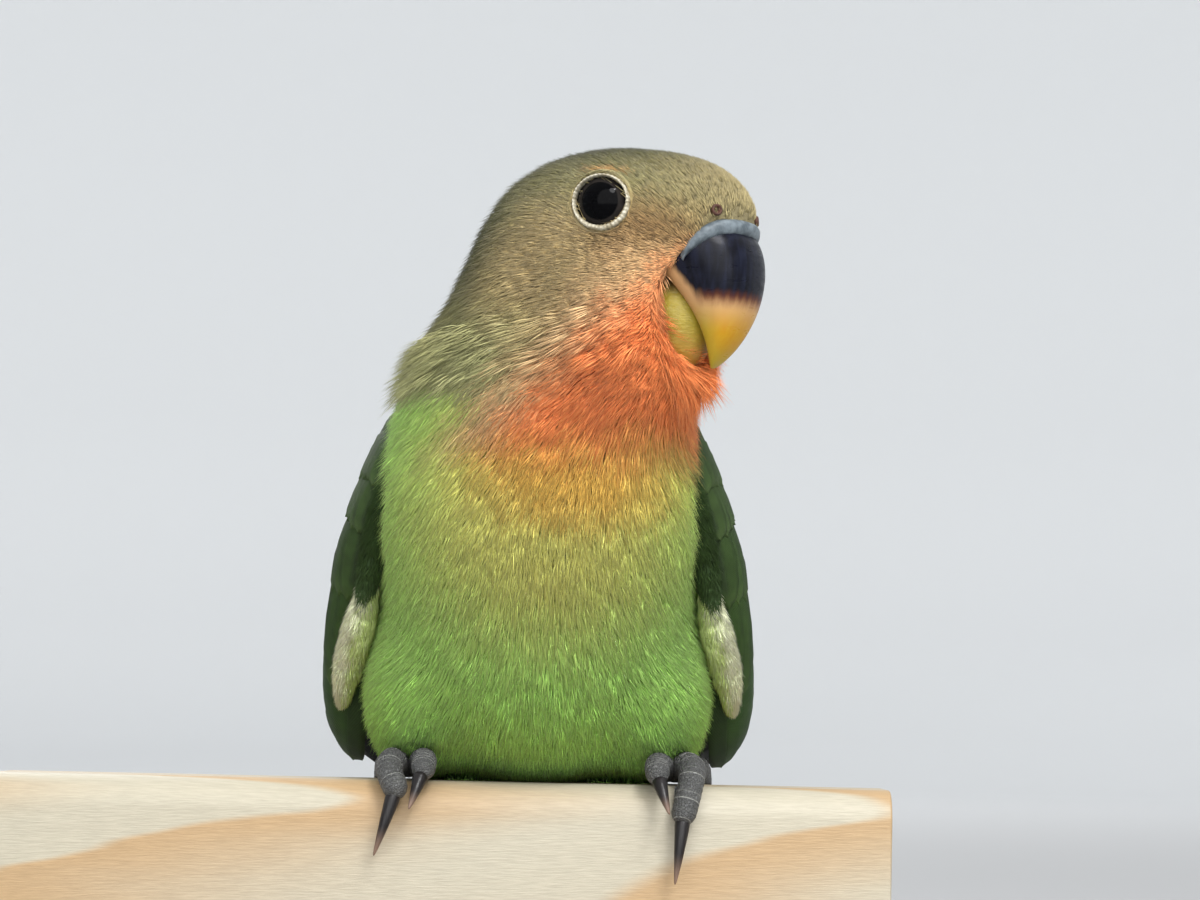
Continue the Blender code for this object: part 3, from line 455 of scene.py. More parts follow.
def curve_at(points, places):
    """Points at some places, from 0 to 1, along a smooth curve through the given points."""
    points = np.asarray(points, float)
    padded = np.vstack((2 * points[0] - points[1], points, 2 * points[-1] - points[-2]))
    along = np.asarray(places, float) * (len(points) - 1)
    which = np.clip(along.astype(int), 0, len(points) - 2)
    part = (along - which)[..., None]
    a, b, c, d = (padded[which + shift] for shift in range(4))
    return 0.5 * (
        2 * b + (c - a) * part + (2 * a - 5 * b + 4 * c - d) * part**2 + (3 * b - a - 3 * c + d) * part**3
    )


def smooth(values, low, high):
    """A smooth step from 0 to 1 between two limits."""
    share = np.clip((values - low) / (high - low), 0.0, 1.0)
    return share * share * (3 - 2 * share)


yaw, pitch = math.radians(HEAD_YAW), math.radians(HEAD_PITCH)
head_forward = np.array((math.sin(yaw) * math.cos(pitch), -math.cos(yaw) * math.cos(pitch), math.sin(pitch)))
head_left = np.array((math.cos(yaw), math.sin(yaw), 0.0))
HEAD_AXES = np.array((head_forward, head_left, np.cross(head_forward, head_left)))


def from_head(points):
    """Points of the head's frame, forward, left and up from between the eyes, in the bird's frame."""
    return np.asarray(points, float) @ HEAD_AXES + HEAD_ORIGIN


def in_head(points):
    """Points of the bird's frame in the head's frame."""
    return (np.asarray(points, float) - HEAD_ORIGIN) @ HEAD_AXES.T


def form_distance(points, middle, radii, axes):
    """How far points lie outside a rounded form, and below zero inside it."""
    local = (points - np.asarray(middle)) @ np.asarray(axes).T
    radii = np.asarray(radii)
    share = np.linalg.norm(local / radii, axis=-1)
    slope = np.linalg.norm(local / radii**2, axis=-1)
    return share * (share - 1.0) / np.maximum(slope, 1e-9)


def soft_least(first, second, blend):
    """The lesser of two distances, rounded over where they are alike."""
    share = np.clip(0.5 + 0.5 * (second - first) / blend, 0.0, 1.0)
    return second * (1 - share) + first * share - blend * share * (1 - share)


def body_distance(points):
    """How far points lie outside the feathered body."""
    nearest = None
    for middle, radii, lean in FORMS:
        lean = math.radians(lean)
        axes = (
            (1.0, 0.0, 0.0), (0.0, math.cos(lean), -math.sin(lean)), (0.0, math.sin(lean), math.cos(lean)),
        )
        distance = form_distance(points, middle, radii, axes)
        nearest = distance if nearest is None else soft_least(nearest, distance, BLEND)
    for middle, radii in HEAD_FORMS:
        nearest = soft_least(nearest, form_distance(points, from_head(middle), radii, HEAD_AXES), BLEND)
    socket = form_distance(points, from_head(SOCKET[0]), SOCKET[1], HEAD_AXES)
    return -soft_least(-nearest, socket, SOCKET_BLEND)


def out_of_body(points):
    """The directions that lead straight out of the body there."""
    shifts = np.eye(3) * 0.05
    slopes = [body_distance(points + shift) - body_distance(points - shift) for shift in shifts]
    return unit(np.stack(slopes, axis=-1))


def surface_grid():
    """The body's outer surface as rings from the tail to the crown, and the way that the trunk runs there."""
    spine = curve_at(SPINE, np.linspace(0, 1, SKIN_RINGS))
    ways = unit(np.gradient(spine, axis=0))
    tilts = [(0, -math.pi / 2 * (1 - k / SKIN_END_RINGS)) for k in range(SKIN_END_RINGS)]
    tilts += [(k, 0.0) for k in range(SKIN_RINGS)]
    tilts += [(SKIN_RINGS - 1, math.pi / 2 * k / SKIN_END_RINGS) for k in range(1, SKIN_END_RINGS + 1)]
    index = np.array([ring for ring, _ in tilts])
    tilt = np.array([angle for _, angle in tilts])[:, None, None]
    turn = np.linspace(0, 2 * math.pi, SKIN_SIDES, endpoint=False)[None, :, None]
    way = ways[index]
    across = unit(np.array((1.0, 0.0, 0.0)) - way * way[:, :1])
    other = np.cross(way, across)
    circle = np.cos(turn) * across[:, None] + np.sin(turn) * other[:, None]
    rays = circle * np.cos(tilt) + way[:, None] * np.sin(tilt)
    starts = np.broadcast_to(spine[index][:, None], rays.shape)
    low = np.zeros(rays.shape[:2])
    high = np.full(rays.shape[:2], REACH)
    for distance in np.arange(REACH_STEP, REACH, REACH_STEP):
        outside = body_distance(starts + rays * distance) > 0
        unmet = high == REACH
        high[outside & unmet] = distance
        low[~outside & unmet] = distance
    for _ in range(HALVINGS):
        middle = 0.5 * (low + high)
        outside = body_distance(starts + rays * middle[..., None]) > 0
        high = np.where(outside, middle, high)
        low = np.where(outside, low, middle)
    return starts + rays * high[..., None], np.broadcast_to(way[:, None], rays.shape)


def clear_of_bar(points):
    """Points over the bar, lifted clear of its top."""
    over = (np.abs(points[..., 1] - BAR_MIDDLE_Y) < BAR_HALF_DEPTH) & (points[..., 2] < BAR_CLEAR)
    points[..., 2] = np.where(over, BAR_CLEAR, points[..., 2])
    return points


def new_piece(name, points, faces, material, slot, replaced=(), tones=None, unwrap=None, to_root=None):
    """A mesh from points in millimetres and blocks of faces, on the bird, with its finish and its solids."""
    mesh = bpy.data.meshes.new(name)
    blocks = [np.asarray(part, np.int32) for part in faces]
    corners = np.concatenate([part.ravel() for part in blocks])
    ends = np.cumsum(np.concatenate([np.full(len(part), part.shape[1]) for part in blocks]))
    starts = np.concatenate(([0], ends[:-1]))
    mesh.vertices.add(len(points))
    mesh.vertices.foreach_set("co", place_of(points).astype(np.float32).ravel())
    mesh.loops.add(len(corners))
    mesh.loops.foreach_set("vertex_index", corners)
    mesh.polygons.add(len(starts))
    mesh.polygons.foreach_set("loop_start", starts.astype(np.int32))
    mesh.update(calc_edges=True)
    mesh.shade_smooth()
    if tones is not None:
        layer = mesh.color_attributes.new("tone", "FLOAT_COLOR", "POINT")
        layer.data.foreach_set(
            "color", np.hstack((tones, np.ones((len(tones), 1)))).astype(np.float32).ravel(),
        )
    if to_root is not None:
        layer = mesh.attributes.new("to_root", "FLOAT_VECTOR", "POINT")
        layer.data.foreach_set("vector", (to_root * MM).astype(np.float32).ravel())
    if unwrap is not None:
        layer = mesh.uv_layers.new(name="OFBake")
        layer.data.foreach_set("uv", unwrap[corners].astype(np.float32).ravel())
    mesh.materials.append(material)
    built = shown(name, mesh)
    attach(built, "root")
    if replaced:
        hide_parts(*replaced)
    return built


def places_group():
    """Where a point's feather has its root, in millimetres, in the bird's frame and in the head's."""
    group, _, made = new_group("places", (), (("Bird", "Vector"), ("Head", "Vector")))
    to_root = node(group, "ShaderNodeAttribute", attribute_name="to_root").outputs["Vector"]
    here = vector_node(group, "ADD", object_place(group), to_root)
    bird = scaled(group, vector_node(group, "SUBTRACT", here, tuple(BIRD_ORIGIN)), 1.0 / MM)
    local = vector_node(group, "SUBTRACT", bird, tuple(HEAD_ORIGIN))
    forward, left, up = (vector_node(group, "DOT_PRODUCT", local, tuple(axis), "Value") for axis in HEAD_AXES)
    side = math_node(group, "ABSOLUTE", left)
    feed(made, "Bird", bird)
    feed(made, "Head", node(group, "ShaderNodeCombineXYZ", {0: forward, 1: side, 2: up}).outputs[0])
    return group


def patch(tree, place, middle, radii, soft):
    """How much a place belongs to a rounded patch of the plumage."""
    local = vector_node(tree, "DIVIDE", vector_node(tree, "SUBTRACT", place, middle), radii)
    return ease(tree, vector_node(tree, "LENGTH", local, output="Value"), 1 - soft, 1 + soft, 1.0, 0.0)


def plumage_group():
    """The colours of the whole plumage, each patch laid over the ones before it, with ragged edges."""
    group, _, made = new_group("plumage", (), (("Color", "Color"),))
    where = use_of(group, places)
    ragged = noise(group, where.outputs["Bird"], 0.55, 3.0, 0.7, "Color")
    shift = scaled(group, vector_node(group, "SUBTRACT", ragged, (0.5, 0.5, 0.5)), 5.0)
    bird, head = (vector_node(group, "ADD", where.outputs[label], shift) for label in ("Bird", "Head"))
    across, away, up = node(group, "ShaderNodeSeparateXYZ", {0: bird}).outputs
    forward, _, head_up = node(group, "ShaderNodeSeparateXYZ", {0: head}).outputs
    # Painted shade: the body's green is darker towards the bottom.
    colour = blended(group, ease(group, up, 0.0, 26.0), tint(156, 206, 92), tint(174, 214, 116))
    for middle, radii, soft, paint in BODY_PATCHES:
        colour = blended(group, patch(group, bird, middle, radii, soft), colour, paint)
    hood = blended(group, ease(group, head_up, -22.0, -4.0), tint(166, 166, 116), tint(142, 136, 92))
    for middle, radii, soft, paint in HEAD_PATCHES:
        hood = blended(group, patch(group, head, middle, radii, soft), hood, paint)
    hood_edge = plus(group, up, times(group, across, 0.1))
    colour = blended(group, ease(group, hood_edge, 46.6, 48.8), colour, hood)
    ahead = times(group, minus(group, forward, 6.0), 0.93)
    slope = minus(group, ahead, plus(group, head_up, 3.5))
    bib = times(
        group, ease(group, slope, -3.0, 4.5), ease(group, up, 39.0, 46.0),
        ease(group, head_up, -7.0, -3.5, 1.0, 0.0), ease(group, away, -7.0, -1.0, 1.0, 0.0),
    )
    throat = blended(group, ease(group, slope, 2.5, 11.0), tint(206, 172, 126), tint(230, 136, 78))
    feed(made, "Color", blended(group, bib, colour, throat))
    return group


surface, trunk_way = surface_grid()
normals = out_of_body(surface)
from_face = np.linalg.norm(in_head(surface) - FACE_MIDDLE, axis=-1)
coat_depth = COAT_DEPTH[0] + (COAT_DEPTH[1] - COAT_DEPTH[0]) * smooth(from_face, *FACE_REACH)
coat_depth = coat_depth * (0.2 + 0.8 * smooth(surface[..., 2], 1.0, 7.0))
skin_points = clear_of_bar(surface - normals * coat_depth[..., None])

places = places_group()
plumage = plumage_group()
skin_finish, tree, shader = finish_of("skin under the feathers", 0.8)
# Painted shade: the skin takes the plumage's colours dimmed, as the shade deep in the coat.
feed(shader, "Base Color", shaded(tree, use_of(tree, plumage).outputs[0], 0.7))
bumped(shader, noise(tree, object_place(tree), 1800.0, 3.0), 0.0003)


def tube_walls(count, sides):
    """Quads round a tube of rings."""
    ring, side = np.meshgrid(np.arange(count - 1), np.arange(sides), indexing="ij")
    after = (side + 1) % sides
    corners = (
        ring * sides + side, ring * sides + after, (ring + 1) * sides + after, (ring + 1) * sides + side,
    )
    return np.stack(corners, -1).reshape(-1, 4)


def grid_unwrap(across, along):
    """A place on the unwrap for each point of a grid of rings."""
    return np.stack(np.broadcast_arrays(across, along), axis=-1).reshape(-1, 2)


rings, sides = surface.shape[:2]
skin = new_piece(
    "skin", skin_points.reshape(-1, 3), [tube_walls(rings, sides)], skin_finish, "body_plumage",
    ("head", "neck", "torso", "leg_left", "leg_right"),
    unwrap=grid_unwrap(np.arange(sides)[None] / sides, np.arange(rings)[:, None] / (rings - 1)),
)
trimmed = bmesh.new()
trimmed.from_mesh(skin.data)
bmesh.ops.remove_doubles(trimmed, verts=trimmed.verts, dist=SAME)
trimmed.to_mesh(skin.data)
trimmed.free()


# The coat. Small feathers cover the skin as roof tiles do, each a fan of fine tapered barbs with its root
# sunk in the skin. They lead away from the bill over the head and down the trunk to the tail. They are
# smallest on the face and longest on the nape, breast and belly, and a row of longer ones ends the hood over
# the shoulders.
FEATHER_LENGTH = (1.5, 5.8)
FEATHER_HALF_WIDTH = (0.45, 1.35)
FEATHERS_PER_MM2 = (4.0, 1.5)
FACE_BARBS, CROWN_BARBS, BODY_BARBS = 5, 8, 10
BARB_WIDTH = (0.12, 0.17)
BARB_ROWS = (
    # share of the length, spread of the fan, height over the tip in coat depths
    (-0.04, 0.3, -1.25),
    (0.5, 0.72, -0.5),
    (1.0, 1.0, 0.0),
)
PATCH_WIDTH = 0.003
EYE_CENTRE = (0.2, 8.0, 0.0)
EYE_FORWARD = 12.0
EYE_CLEAR = 3.85
BILL_PLANE_POINT = (8.1, 0.0, -3.8)
BILL_PLANE_BACK = np.array((-0.603, 0.0, 0.797))
CERE_CLEAR = -1.3
UNDER_WING = ((16.5, 0.0, 8.0), (40.0, 24.0, 40.0))
RUFF_HEIGHT = (51.0, 56.5)
RUFF_LENGTH, RUFF_LIFT = 6.4, 1.7
RUFF_PER_MM2 = 0.8
CHIN_REACH = (0.25, 1.9)
CHIN_PER_MM2 = 5.0
CHIN_WAY = (0.62, 0.0, -0.78)
BACK_SHARE = 0.5
UNDER_BELLY = ((-14.5, -1.0, 0.05), (14.5, 7.0, 2.6))
UNDER_BELLY_PER_MM2 = 1.2
UNDER_BELLY_WAY = (0.0, -0.5, -0.87)
COAT_LIMIT = 19000
COAT_REGIONS = (
    # name, slot, lowest and highest distance from the face, barbs, then 1 for the back, -1 for the front
    ("face_coat", "head_plumage", (0.0, 13.0), FACE_BARBS, 0),
    ("crown_coat", "head_plumage", (13.0, 22.0), CROWN_BARBS, 0),
    ("nape_coat", "head_plumage", (22.0, 32.0), BODY_BARBS, 1),
    ("throat_coat", "throat_plumage", (22.0, 32.0), BODY_BARBS, -1),
    ("breast_coat", "body_plumage", (32.0, 50.0), BODY_BARBS, -1),
    ("belly_coat", "body_plumage", (50.0, 150.0), BODY_BARBS, -1),
    ("back_coat", "body_plumage", (32.0, 150.0), BODY_BARBS, 1),
)


def at(grid, ring, side):
    """The values of a grid of rings at places between its points."""
    low_ring = np.clip(ring.astype(int), 0, rings - 2)
    low_side = side.astype(int) % sides
    up, along = (ring - low_ring), (side - np.floor(side))
    if grid.ndim == 3:
        up, along = up[:, None], along[:, None]
    next_side = (low_side + 1) % sides
    below = grid[low_ring, low_side] * (1 - along) + grid[low_ring, next_side] * along
    above = grid[low_ring + 1, low_side] * (1 - along) + grid[low_ring + 1, next_side] * along
    return below * (1 - up) + above * up


def lie_of_feathers():
    """The way that the feathers point all over the surface."""
    from_bill = surface - from_head(BILL_ROOT)
    distance = np.linalg.norm(from_bill, axis=-1, keepdims=True)
    none = np.zeros_like(surface[..., 0])
    trunk = -trunk_way + np.stack((surface[..., 0] * 0.018, none, none - 0.25), axis=-1)
    on_trunk = smooth(distance, 16.0, 40.0)
    return unit(beside(unit(from_bill) * (1 - on_trunk) + unit(trunk) * on_trunk, normals))


def scattered(density, rng):
    """Places on the grid for feathers, so many to the square millimetre, spread evenly."""
    first = surface[1:] - surface[:-1]
    second = np.roll(surface, -1, axis=1) - surface
    area = np.linalg.norm(np.cross(first, second[:-1]), axis=-1)
    expected = area * 0.5 * (density[1:] + density[:-1])
    total = np.concatenate(([0.0], np.cumsum(expected.ravel()))) + rng.uniform()
    count = np.diff(np.floor(total)).astype(int)
    cell = np.repeat(np.arange(len(count)), count)
    return cell // sides + rng.uniform(size=len(cell)), cell % sides + rng.uniform(size=len(cell))


def clear_of_eyes(points):
    """Points too near an eye, moved out past its ring."""
    turn = math.radians(EYE_FORWARD)
    for sign in (1.0, -1.0):
        axis = np.array((math.sin(turn), math.cos(turn) * sign, 0.0)) @ HEAD_AXES
        centre = from_head((EYE_CENTRE[0], EYE_CENTRE[1] * sign, EYE_CENTRE[2]))
        local = points - centre
        off = local @ axis
        flat = local - off[..., None] * axis
        reach = np.linalg.norm(flat, axis=-1)
        near = (reach < EYE_CLEAR) & (off > 0) & (off < 7.0)
        pushed = centre + axis * off[..., None] + flat * (EYE_CLEAR / np.maximum(reach, 0.3))[..., None]
        points = np.where(near[..., None], pushed, points)
    return points


def settled_on_body(points, out, target):
    """Points moved straight out or in until they lie so far outside the body."""
    for _ in range(2):
        points = points + out * (target - body_distance(points))[..., None]
    return clear_of_bar(clear_of_eyes(points))


def hanging(points, out, target):
    """Points that hang free, only so far out of their line."""
    return points + out * target[..., None]


def hanging_to_bar(points, out, target):
    """Points that hang free down to the bar."""
    return clear_of_bar(hanging(points, out, target))


def feather_barbs(root, out, lie, place, sizes, barbs, lift, settled, rng, shared=None):
    """The points, faces, tones, unwrap and ways to the root of many small feathers, each a fan of barbs."""
    length, half_width, depth, barb_width = sizes
    count = len(root)
    across = np.cross(out, lie)
    waves = 0.1 * np.sin(root[:, 0] * 0.9 + root[:, 2] * 0.7)[:, None]
    turn = rng.normal(0.0, 0.09, (count, 1)) + waves
    lie, across = lie * np.cos(turn) + across * np.sin(turn), across * np.cos(turn) - lie * np.sin(turn)
    fan = np.linspace(-1, 1, barbs)[None] + rng.normal(0, 0.12, (count, barbs))
    reach = length[:, None] * (1 - 0.24 * fan**2) * rng.uniform(0.78, 1.14, (count, barbs))
    rows = []
    for share, spread, height in BARB_ROWS:
        drift = rng.normal(0, 0.03, (count, barbs)) * length[:, None] * share
        sideways = half_width[:, None] * fan * spread + drift
        points = root[:, None] + lie[:, None] * (reach * share)[..., None] + across[:, None] * sideways[
            ..., None,
        ]
        raised = (lift[:, None] + rng.normal(0, 0.16, (count, barbs)) * depth[:, None]) * share
        rows.append(settled(points, out[:, None], depth[:, None] * height + raised))
    start, middle, tip = rows
    width = barb_width[:, None, None] * rng.uniform(0.75, 1.25, (count, barbs, 1))
    points = np.empty((count, barbs, 7, 3))
    for base, here, way, share in ((0, start, middle - start, 0.7), (3, middle, tip - start, 1.0)):
        edge = unit(np.cross(out[:, None], way)) * width * share * 0.5
        points[:, :, base] = here + edge
        points[:, :, base + 1] = here - edge
        points[:, :, base + 2] = here + out[:, None] * width * share * 0.36
    points[:, :, 6] = tip
    first = (np.arange(count * barbs) * 7)[:, None, None]
    walls = np.array(((0, 2, 5, 3), (2, 1, 4, 5), (1, 0, 3, 4)))[None] + first
    ends = np.array(((3, 5, 6), (5, 4, 6), (4, 3, 6), (0, 1, 2)))[None] + first
    tones = np.empty((count, barbs, 7, 3))
    tones[..., 0] = rng.uniform(size=(count, barbs, 1))
    tones[..., 1] = np.array((0.0, 0.0, 0.0, 0.5, 0.5, 0.5, 1.0))
    tones[..., 2] = (rng.uniform(size=count) if shared is None else shared)[:, None, None]
    unwrap = np.empty((count, barbs, 7, 2))
    sideways = (fan * 0.4 * PATCH_WIDTH)[..., None] + np.array((-1, 1, 0, -1, 1, 0, 0)) * PATCH_WIDTH / 15
    unwrap[..., 0] = place[:, :1, None] + sideways
    unwrap[..., 1] = place[:, 1:, None] + (0.5 - np.array((0, 0, 0, 0.5, 0.5, 0.5, 1.0))) * PATCH_WIDTH
    to_root = root[:, None, None] - points
    flat = [part.reshape(-1, part.shape[-1]) for part in (points, tones, unwrap, to_root)]
    return flat[0], [walls.reshape(-1, 4), ends.reshape(-1, 3)], *flat[1:]


def tone_parts(tree):
    """What a point's tone says: how its own barb or blade differs, how far along it is, and how far across."""
    tone = node(tree, "ShaderNodeAttribute", attribute_name="tone").outputs["Color"]
    return node(tree, "ShaderNodeSeparateColor", {0: tone}).outputs


def barb_tone_group():
    """The plumage's colour on one barb: darker at its root as painted shade, paler at its tip as painted
    light, no two barbs quite alike.
    """
    group, given, made = new_group(
        "barb tone", (("Color", "Color", (0.5, 0.5, 0.5, 1.0)),), (("Color", "Color"),),
    )
    own, along, shared = tone_parts(group)
    # Painted shade towards each barb's root and painted light towards its tip, from how far along the barb a
    # point lies.
    shade = times(
        group, ranged(group, along, 0.0, 1.0, 0.92, 1.5), ranged(group, own, 0.0, 1.0, 0.72, 1.26),
        ranged(group, shared, 0.0, 1.0, 0.88, 1.1),
    )
    feed(made, "Color", shaded(group, given.outputs["Color"], shade))
    return group


def body_coat(name, slot, ring, side, barbs, longer, lift, rng, lie=None, settled=settled_on_body):
    """One piece of the coat, of feathers rooted at these places of the grid."""
    lie = feather_lie if lie is None else lie
    share = at(smooth(from_face, 7.0, 27.0), ring, side)
    ranges = (FEATHER_LENGTH, FEATHER_HALF_WIDTH, COAT_DEPTH, BARB_WIDTH)
    sizes = [low + (high - low) * share for low, high in ranges]
    sizes[0] = sizes[0] * rng.uniform(0.85, 1.15, len(ring)) * longer
    frames = at(surface, ring, side), unit(at(normals, ring, side)), unit(at(lie, ring, side))
    place = np.stack((side / sides, ring / (rings - 1)), -1)
    lifts = lift * rng.uniform(0.5, 1.3, len(ring))
    points, faces, tones, unwrap, to_root = feather_barbs(*frames, place, sizes, barbs, lifts, settled, rng)
    new_piece(name, points, faces, coat_finish, slot, tones=tones, unwrap=unwrap, to_root=to_root)


coat_finish, tree, shader = finish_of("small feathers", 0.7, 0.2, sheen_weight=0.08, sheen_roughness=0.5)
toned = use_of(tree, barb_tone_group(), color=use_of(tree, plumage).outputs[0])
feed(shader, "Base Color", toned.outputs[0])

feather_lie = lie_of_feathers()
rng = np.random.default_rng(21)
across, away, up = np.moveaxis(surface, -1, 0)
head_forward, head_left, head_up = np.moveaxis(in_head(surface), -1, 0)
past_socket = form_distance(surface, from_head(SOCKET[0]), SOCKET[1], HEAD_AXES)
density = FEATHERS_PER_MM2[0] + (FEATHERS_PER_MM2[1] - FEATHERS_PER_MM2[0]) * smooth(from_face, 8.0, 24.0)
density[past_socket < 0.4] = 0.0
beside_wing = np.all((surface[..., 1:] > UNDER_WING[0][1:]) & (surface[..., 1:] < UNDER_WING[1][1:]), axis=-1)
density[beside_wing & (np.abs(across) > UNDER_WING[0][0])] = 0.0
behind_bill = (in_head(surface) - BILL_PLANE_POINT) @ BILL_PLANE_BACK
on_cere = (behind_bill < CERE_CLEAR) & (np.abs(head_left) < 6.5) & (head_forward > 7.0) & (head_up > -5.5)
density[on_cere] = 0.0
density[(normals[..., 1] > 0.25) & (from_face > 32.0)] *= BACK_SHARE
ring, side = scattered(density, rng)
from_face_there = at(from_face, ring, side)
front = at(normals, ring, side)[:, 1] < 0.25
for name, slot, (low, high), barbs, facing in COAT_REGIONS:
    chosen = (from_face_there >= low) & (from_face_there < high)
    if facing:
        chosen &= front == (facing < 0)
    picked = np.flatnonzero(chosen)
    limit = COAT_LIMIT // barbs
    for part in range(math.ceil(len(picked) / limit)):
        some = picked[part * limit:(part + 1) * limit]
        label = name if part == 0 else f"{name}_{part + 1}"
        body_coat(label, slot, ring[some], side[some], barbs, 1.0, 0.0, rng)
ruff_density = np.where((up > RUFF_HEIGHT[0]) & (up < RUFF_HEIGHT[1]), RUFF_PER_MM2, 0.0)
ruff_density[normals[..., 1] < -0.6] *= 0.4
ring, side = scattered(ruff_density, rng)
longer = RUFF_LENGTH / FEATHER_LENGTH[1]
body_coat("hood_edge", "head_plumage", ring, side, BODY_BARBS, longer, RUFF_LIFT, rng)

by_bill = (past_socket > CHIN_REACH[0]) & (past_socket < CHIN_REACH[1]) & (head_up < -9.0) & (
    head_forward > 2.0
)
ring, side = scattered(np.where(by_bill, CHIN_PER_MM2, 0.0), rng)
chin_way = beside(np.broadcast_to(CHIN_WAY @ HEAD_AXES, surface.shape), normals)
body_coat("chin_fringe", "throat_plumage", ring, side, FACE_BARBS, 1.8, 0.7, rng, chin_way, hanging)

under_belly = np.all((surface > UNDER_BELLY[0]) & (surface < UNDER_BELLY[1]), axis=-1) & (
    np.abs(across) > 4.0
)
ring, side = scattered(np.where(under_belly, UNDER_BELLY_PER_MM2, 0.0), rng)
belly_way = np.broadcast_to(np.array(UNDER_BELLY_WAY), surface.shape)
body_coat(
    "under_belly_down", "body_plumage", ring, side, FACE_BARBS, 0.5, 0.3, rng, belly_way, hanging_to_bar,
)


# The wings. Each folded wing has tiers of vanes, from small coverts to the long dark flight feathers, each
# vane a thin cambered blade with a shaft down its middle. Its leading edge is a roll of small feathers like
# scales, and below that a roll of pale lining feathers shows in front of the wing.
WING_LOWER = (
    (15.0, -12.5, 41.0), (20.2, -7.0, 27.0), (22.0, 6.0, 5.5), (19.5, 22.0, 0.5), (12.5, 43.0, -2.0), (
        3.2, 61.5, -8.5,
    ),
)
WING_CREST = (
    (17.6, -5.0, 45.0), (22.6, 1.5, 31.0), (24.4, 12.0, 17.0), (22.4, 28.0, 10.0), (14.0, 45.5, 2.0), (
        3.4, 62.5, -7.2,
    ),
)
WING_UPPER = (
    (10.4, 6.2, 52.0), (8.8, 16.0, 48.2), (5.8, 28.0, 37.4), (3.8, 39.6, 24.6), (2.6, 51.0, 9.8), (
        1.6, 63.0, -6.2,
    ),
)
WING_TIERS = (
    # name, count, first (root and tip along, root and tip across), last, half-width, height over the wing
    ("primaries", 9, (0.40, 0.985, 0.06, 0.36), (0.44, 0.80, 0.42, 0.58), 2.1, 0.1),
    ("secondaries", 9, (0.40, 0.70, 0.46, 0.62), (0.32, 0.66, 0.84, 0.94), 2.5, 0.5),
    ("greater_coverts", 12, (0.26, 0.50, 0.06, 0.06), (0.22, 0.47, 0.84, 0.92), 2.5, 0.9),
    ("median_coverts", 12, (0.18, 0.36, 0.08, 0.07), (0.14, 0.32, 0.82, 0.90), 2.4, 1.1),
    ("lesser_coverts", 12, (0.11, 0.25, 0.10, 0.09), (0.08, 0.22, 0.82, 0.90), 2.3, 1.3),
    ("marginal_coverts", 12, (0.05, 0.16, 0.10, 0.10), (0.02, 0.14, 0.80, 0.88), 2.2, 1.5),
    ("shoulder_coverts", 11, (0.00, 0.09, 0.12, 0.12), (-0.02, 0.08, 0.78, 0.86), 2.1, 1.6),
)
WING_COLOURS = {
    # outer web, inner web, tip
    "primaries": ((30, 44, 22), (14, 17, 13), (18, 23, 15)),
    "secondaries": ((52, 90, 34), (30, 44, 20), (48, 80, 34)),
    "greater_coverts": ((46, 72, 28), (36, 56, 23), (66, 92, 40)),
    "median_coverts": ((48, 70, 28), (38, 56, 23), (66, 90, 40)),
    "lesser_coverts": ((48, 68, 29), (38, 54, 24), (66, 88, 41)),
    "marginal_coverts": ((54, 74, 34), (42, 58, 28), (70, 90, 46)),
    "shoulder_coverts": ((56, 76, 36), (44, 60, 30), (72, 92, 48)),
}
VANE_ROWS, VANE_COLUMNS = 15, 7
VANE_THICKNESS = 0.16
VANE_CAMBER = 0.2
VANE_ROLL = 0.32
SHAFT_HEIGHT = 0.05
THINNEST_VANE = 0.05
ROLLS = {
    # middle line, radii, feathers, their length and half-width, then their first, last and under colours, the
    # under colour being painted shade at their roots
    "wing_edge": (
        ((14.8, -12.6, 41.8), (18.2, -10.8, 34.0), (20.4, -8.4, 26.5), (21.6, -6.4, 21.0)), (
            1.6, 2.2, 1.7, 0.6,
        ),
        680, 3.0, 0.68, ((56, 78, 36), (112, 142, 96), (34, 48, 24)),
    ),
    "wing_lining": (
        ((20.4, -7.8, 25.6), (22.0, -4.6, 19.0), (23.6, -1.2, 13.6), (24.4, 1.4, 9.4)), (0.8, 1.9, 1.7, 0.6),
        560, 3.6, 0.56, ((206, 226, 134), (244, 244, 216), (196, 208, 150)),
    ),
}
ROLL_RINGS, ROLL_SIDES, ROLL_BARBS = 60, 24, 6
ROLL_CORE = 0.8


def tube(rings_of_points):
    """The points and faces of a closed tube from its rings: walls, and a fan of triangles on each end."""
    rings_of_points = np.asarray(rings_of_points, float)
    count, sides = rings_of_points.shape[:2]
    ends = rings_of_points[[0, -1]].mean(axis=1)
    side = np.arange(sides)
    after = (side + 1) % sides
    first, last = np.full(sides, count * sides), np.full(sides, count * sides + 1)
    base = (count - 1) * sides
    fans = np.concatenate(
        (np.stack((after, side, first), -1), np.stack((base + side, base + after, last), -1))
    )
    return np.vstack((rings_of_points.reshape(-1, 3), ends)), [tube_walls(count, sides), fans]


def outward(points, faces):
    """The faces, turned round if the tube is inside out."""
    volume = 0.0
    for block in faces:
        for corner in range(1, block.shape[1] - 1):
            a, b, c = points[block[:, 0]], points[block[:, corner]], points[block[:, corner + 1]]
            volume += np.sum(a * np.cross(b, c))
    return faces if volume > 0 else [block[:, ::-1] for block in faces]


def wing_at(along, across):
    """Points on the folded left wing's outer surface, from shoulder to tip and from its lower edge up."""
    along = np.clip(along, 0.0, 1.0)
    lower, crest, upper = (curve_at(line, along) for line in (WING_LOWER, WING_CREST, WING_UPPER))
    across = np.asarray(across, float)[..., None]
    control = 2 * crest - 0.5 * (lower + upper)
    return lower * (1 - across) ** 2 + 2 * control * across * (1 - across) + upper * across**2


def wing_out(along, across):
    """The directions that point out of the folded left wing there."""
    step = 0.02
    forth = wing_at(along + step, across) - wing_at(along - step, across)
    upward = wing_at(along, across + step) - wing_at(along, across - step)
    out = unit(np.cross(upward, forth))
    return out * np.where(out[..., :1] < 0, -1.0, 1.0)


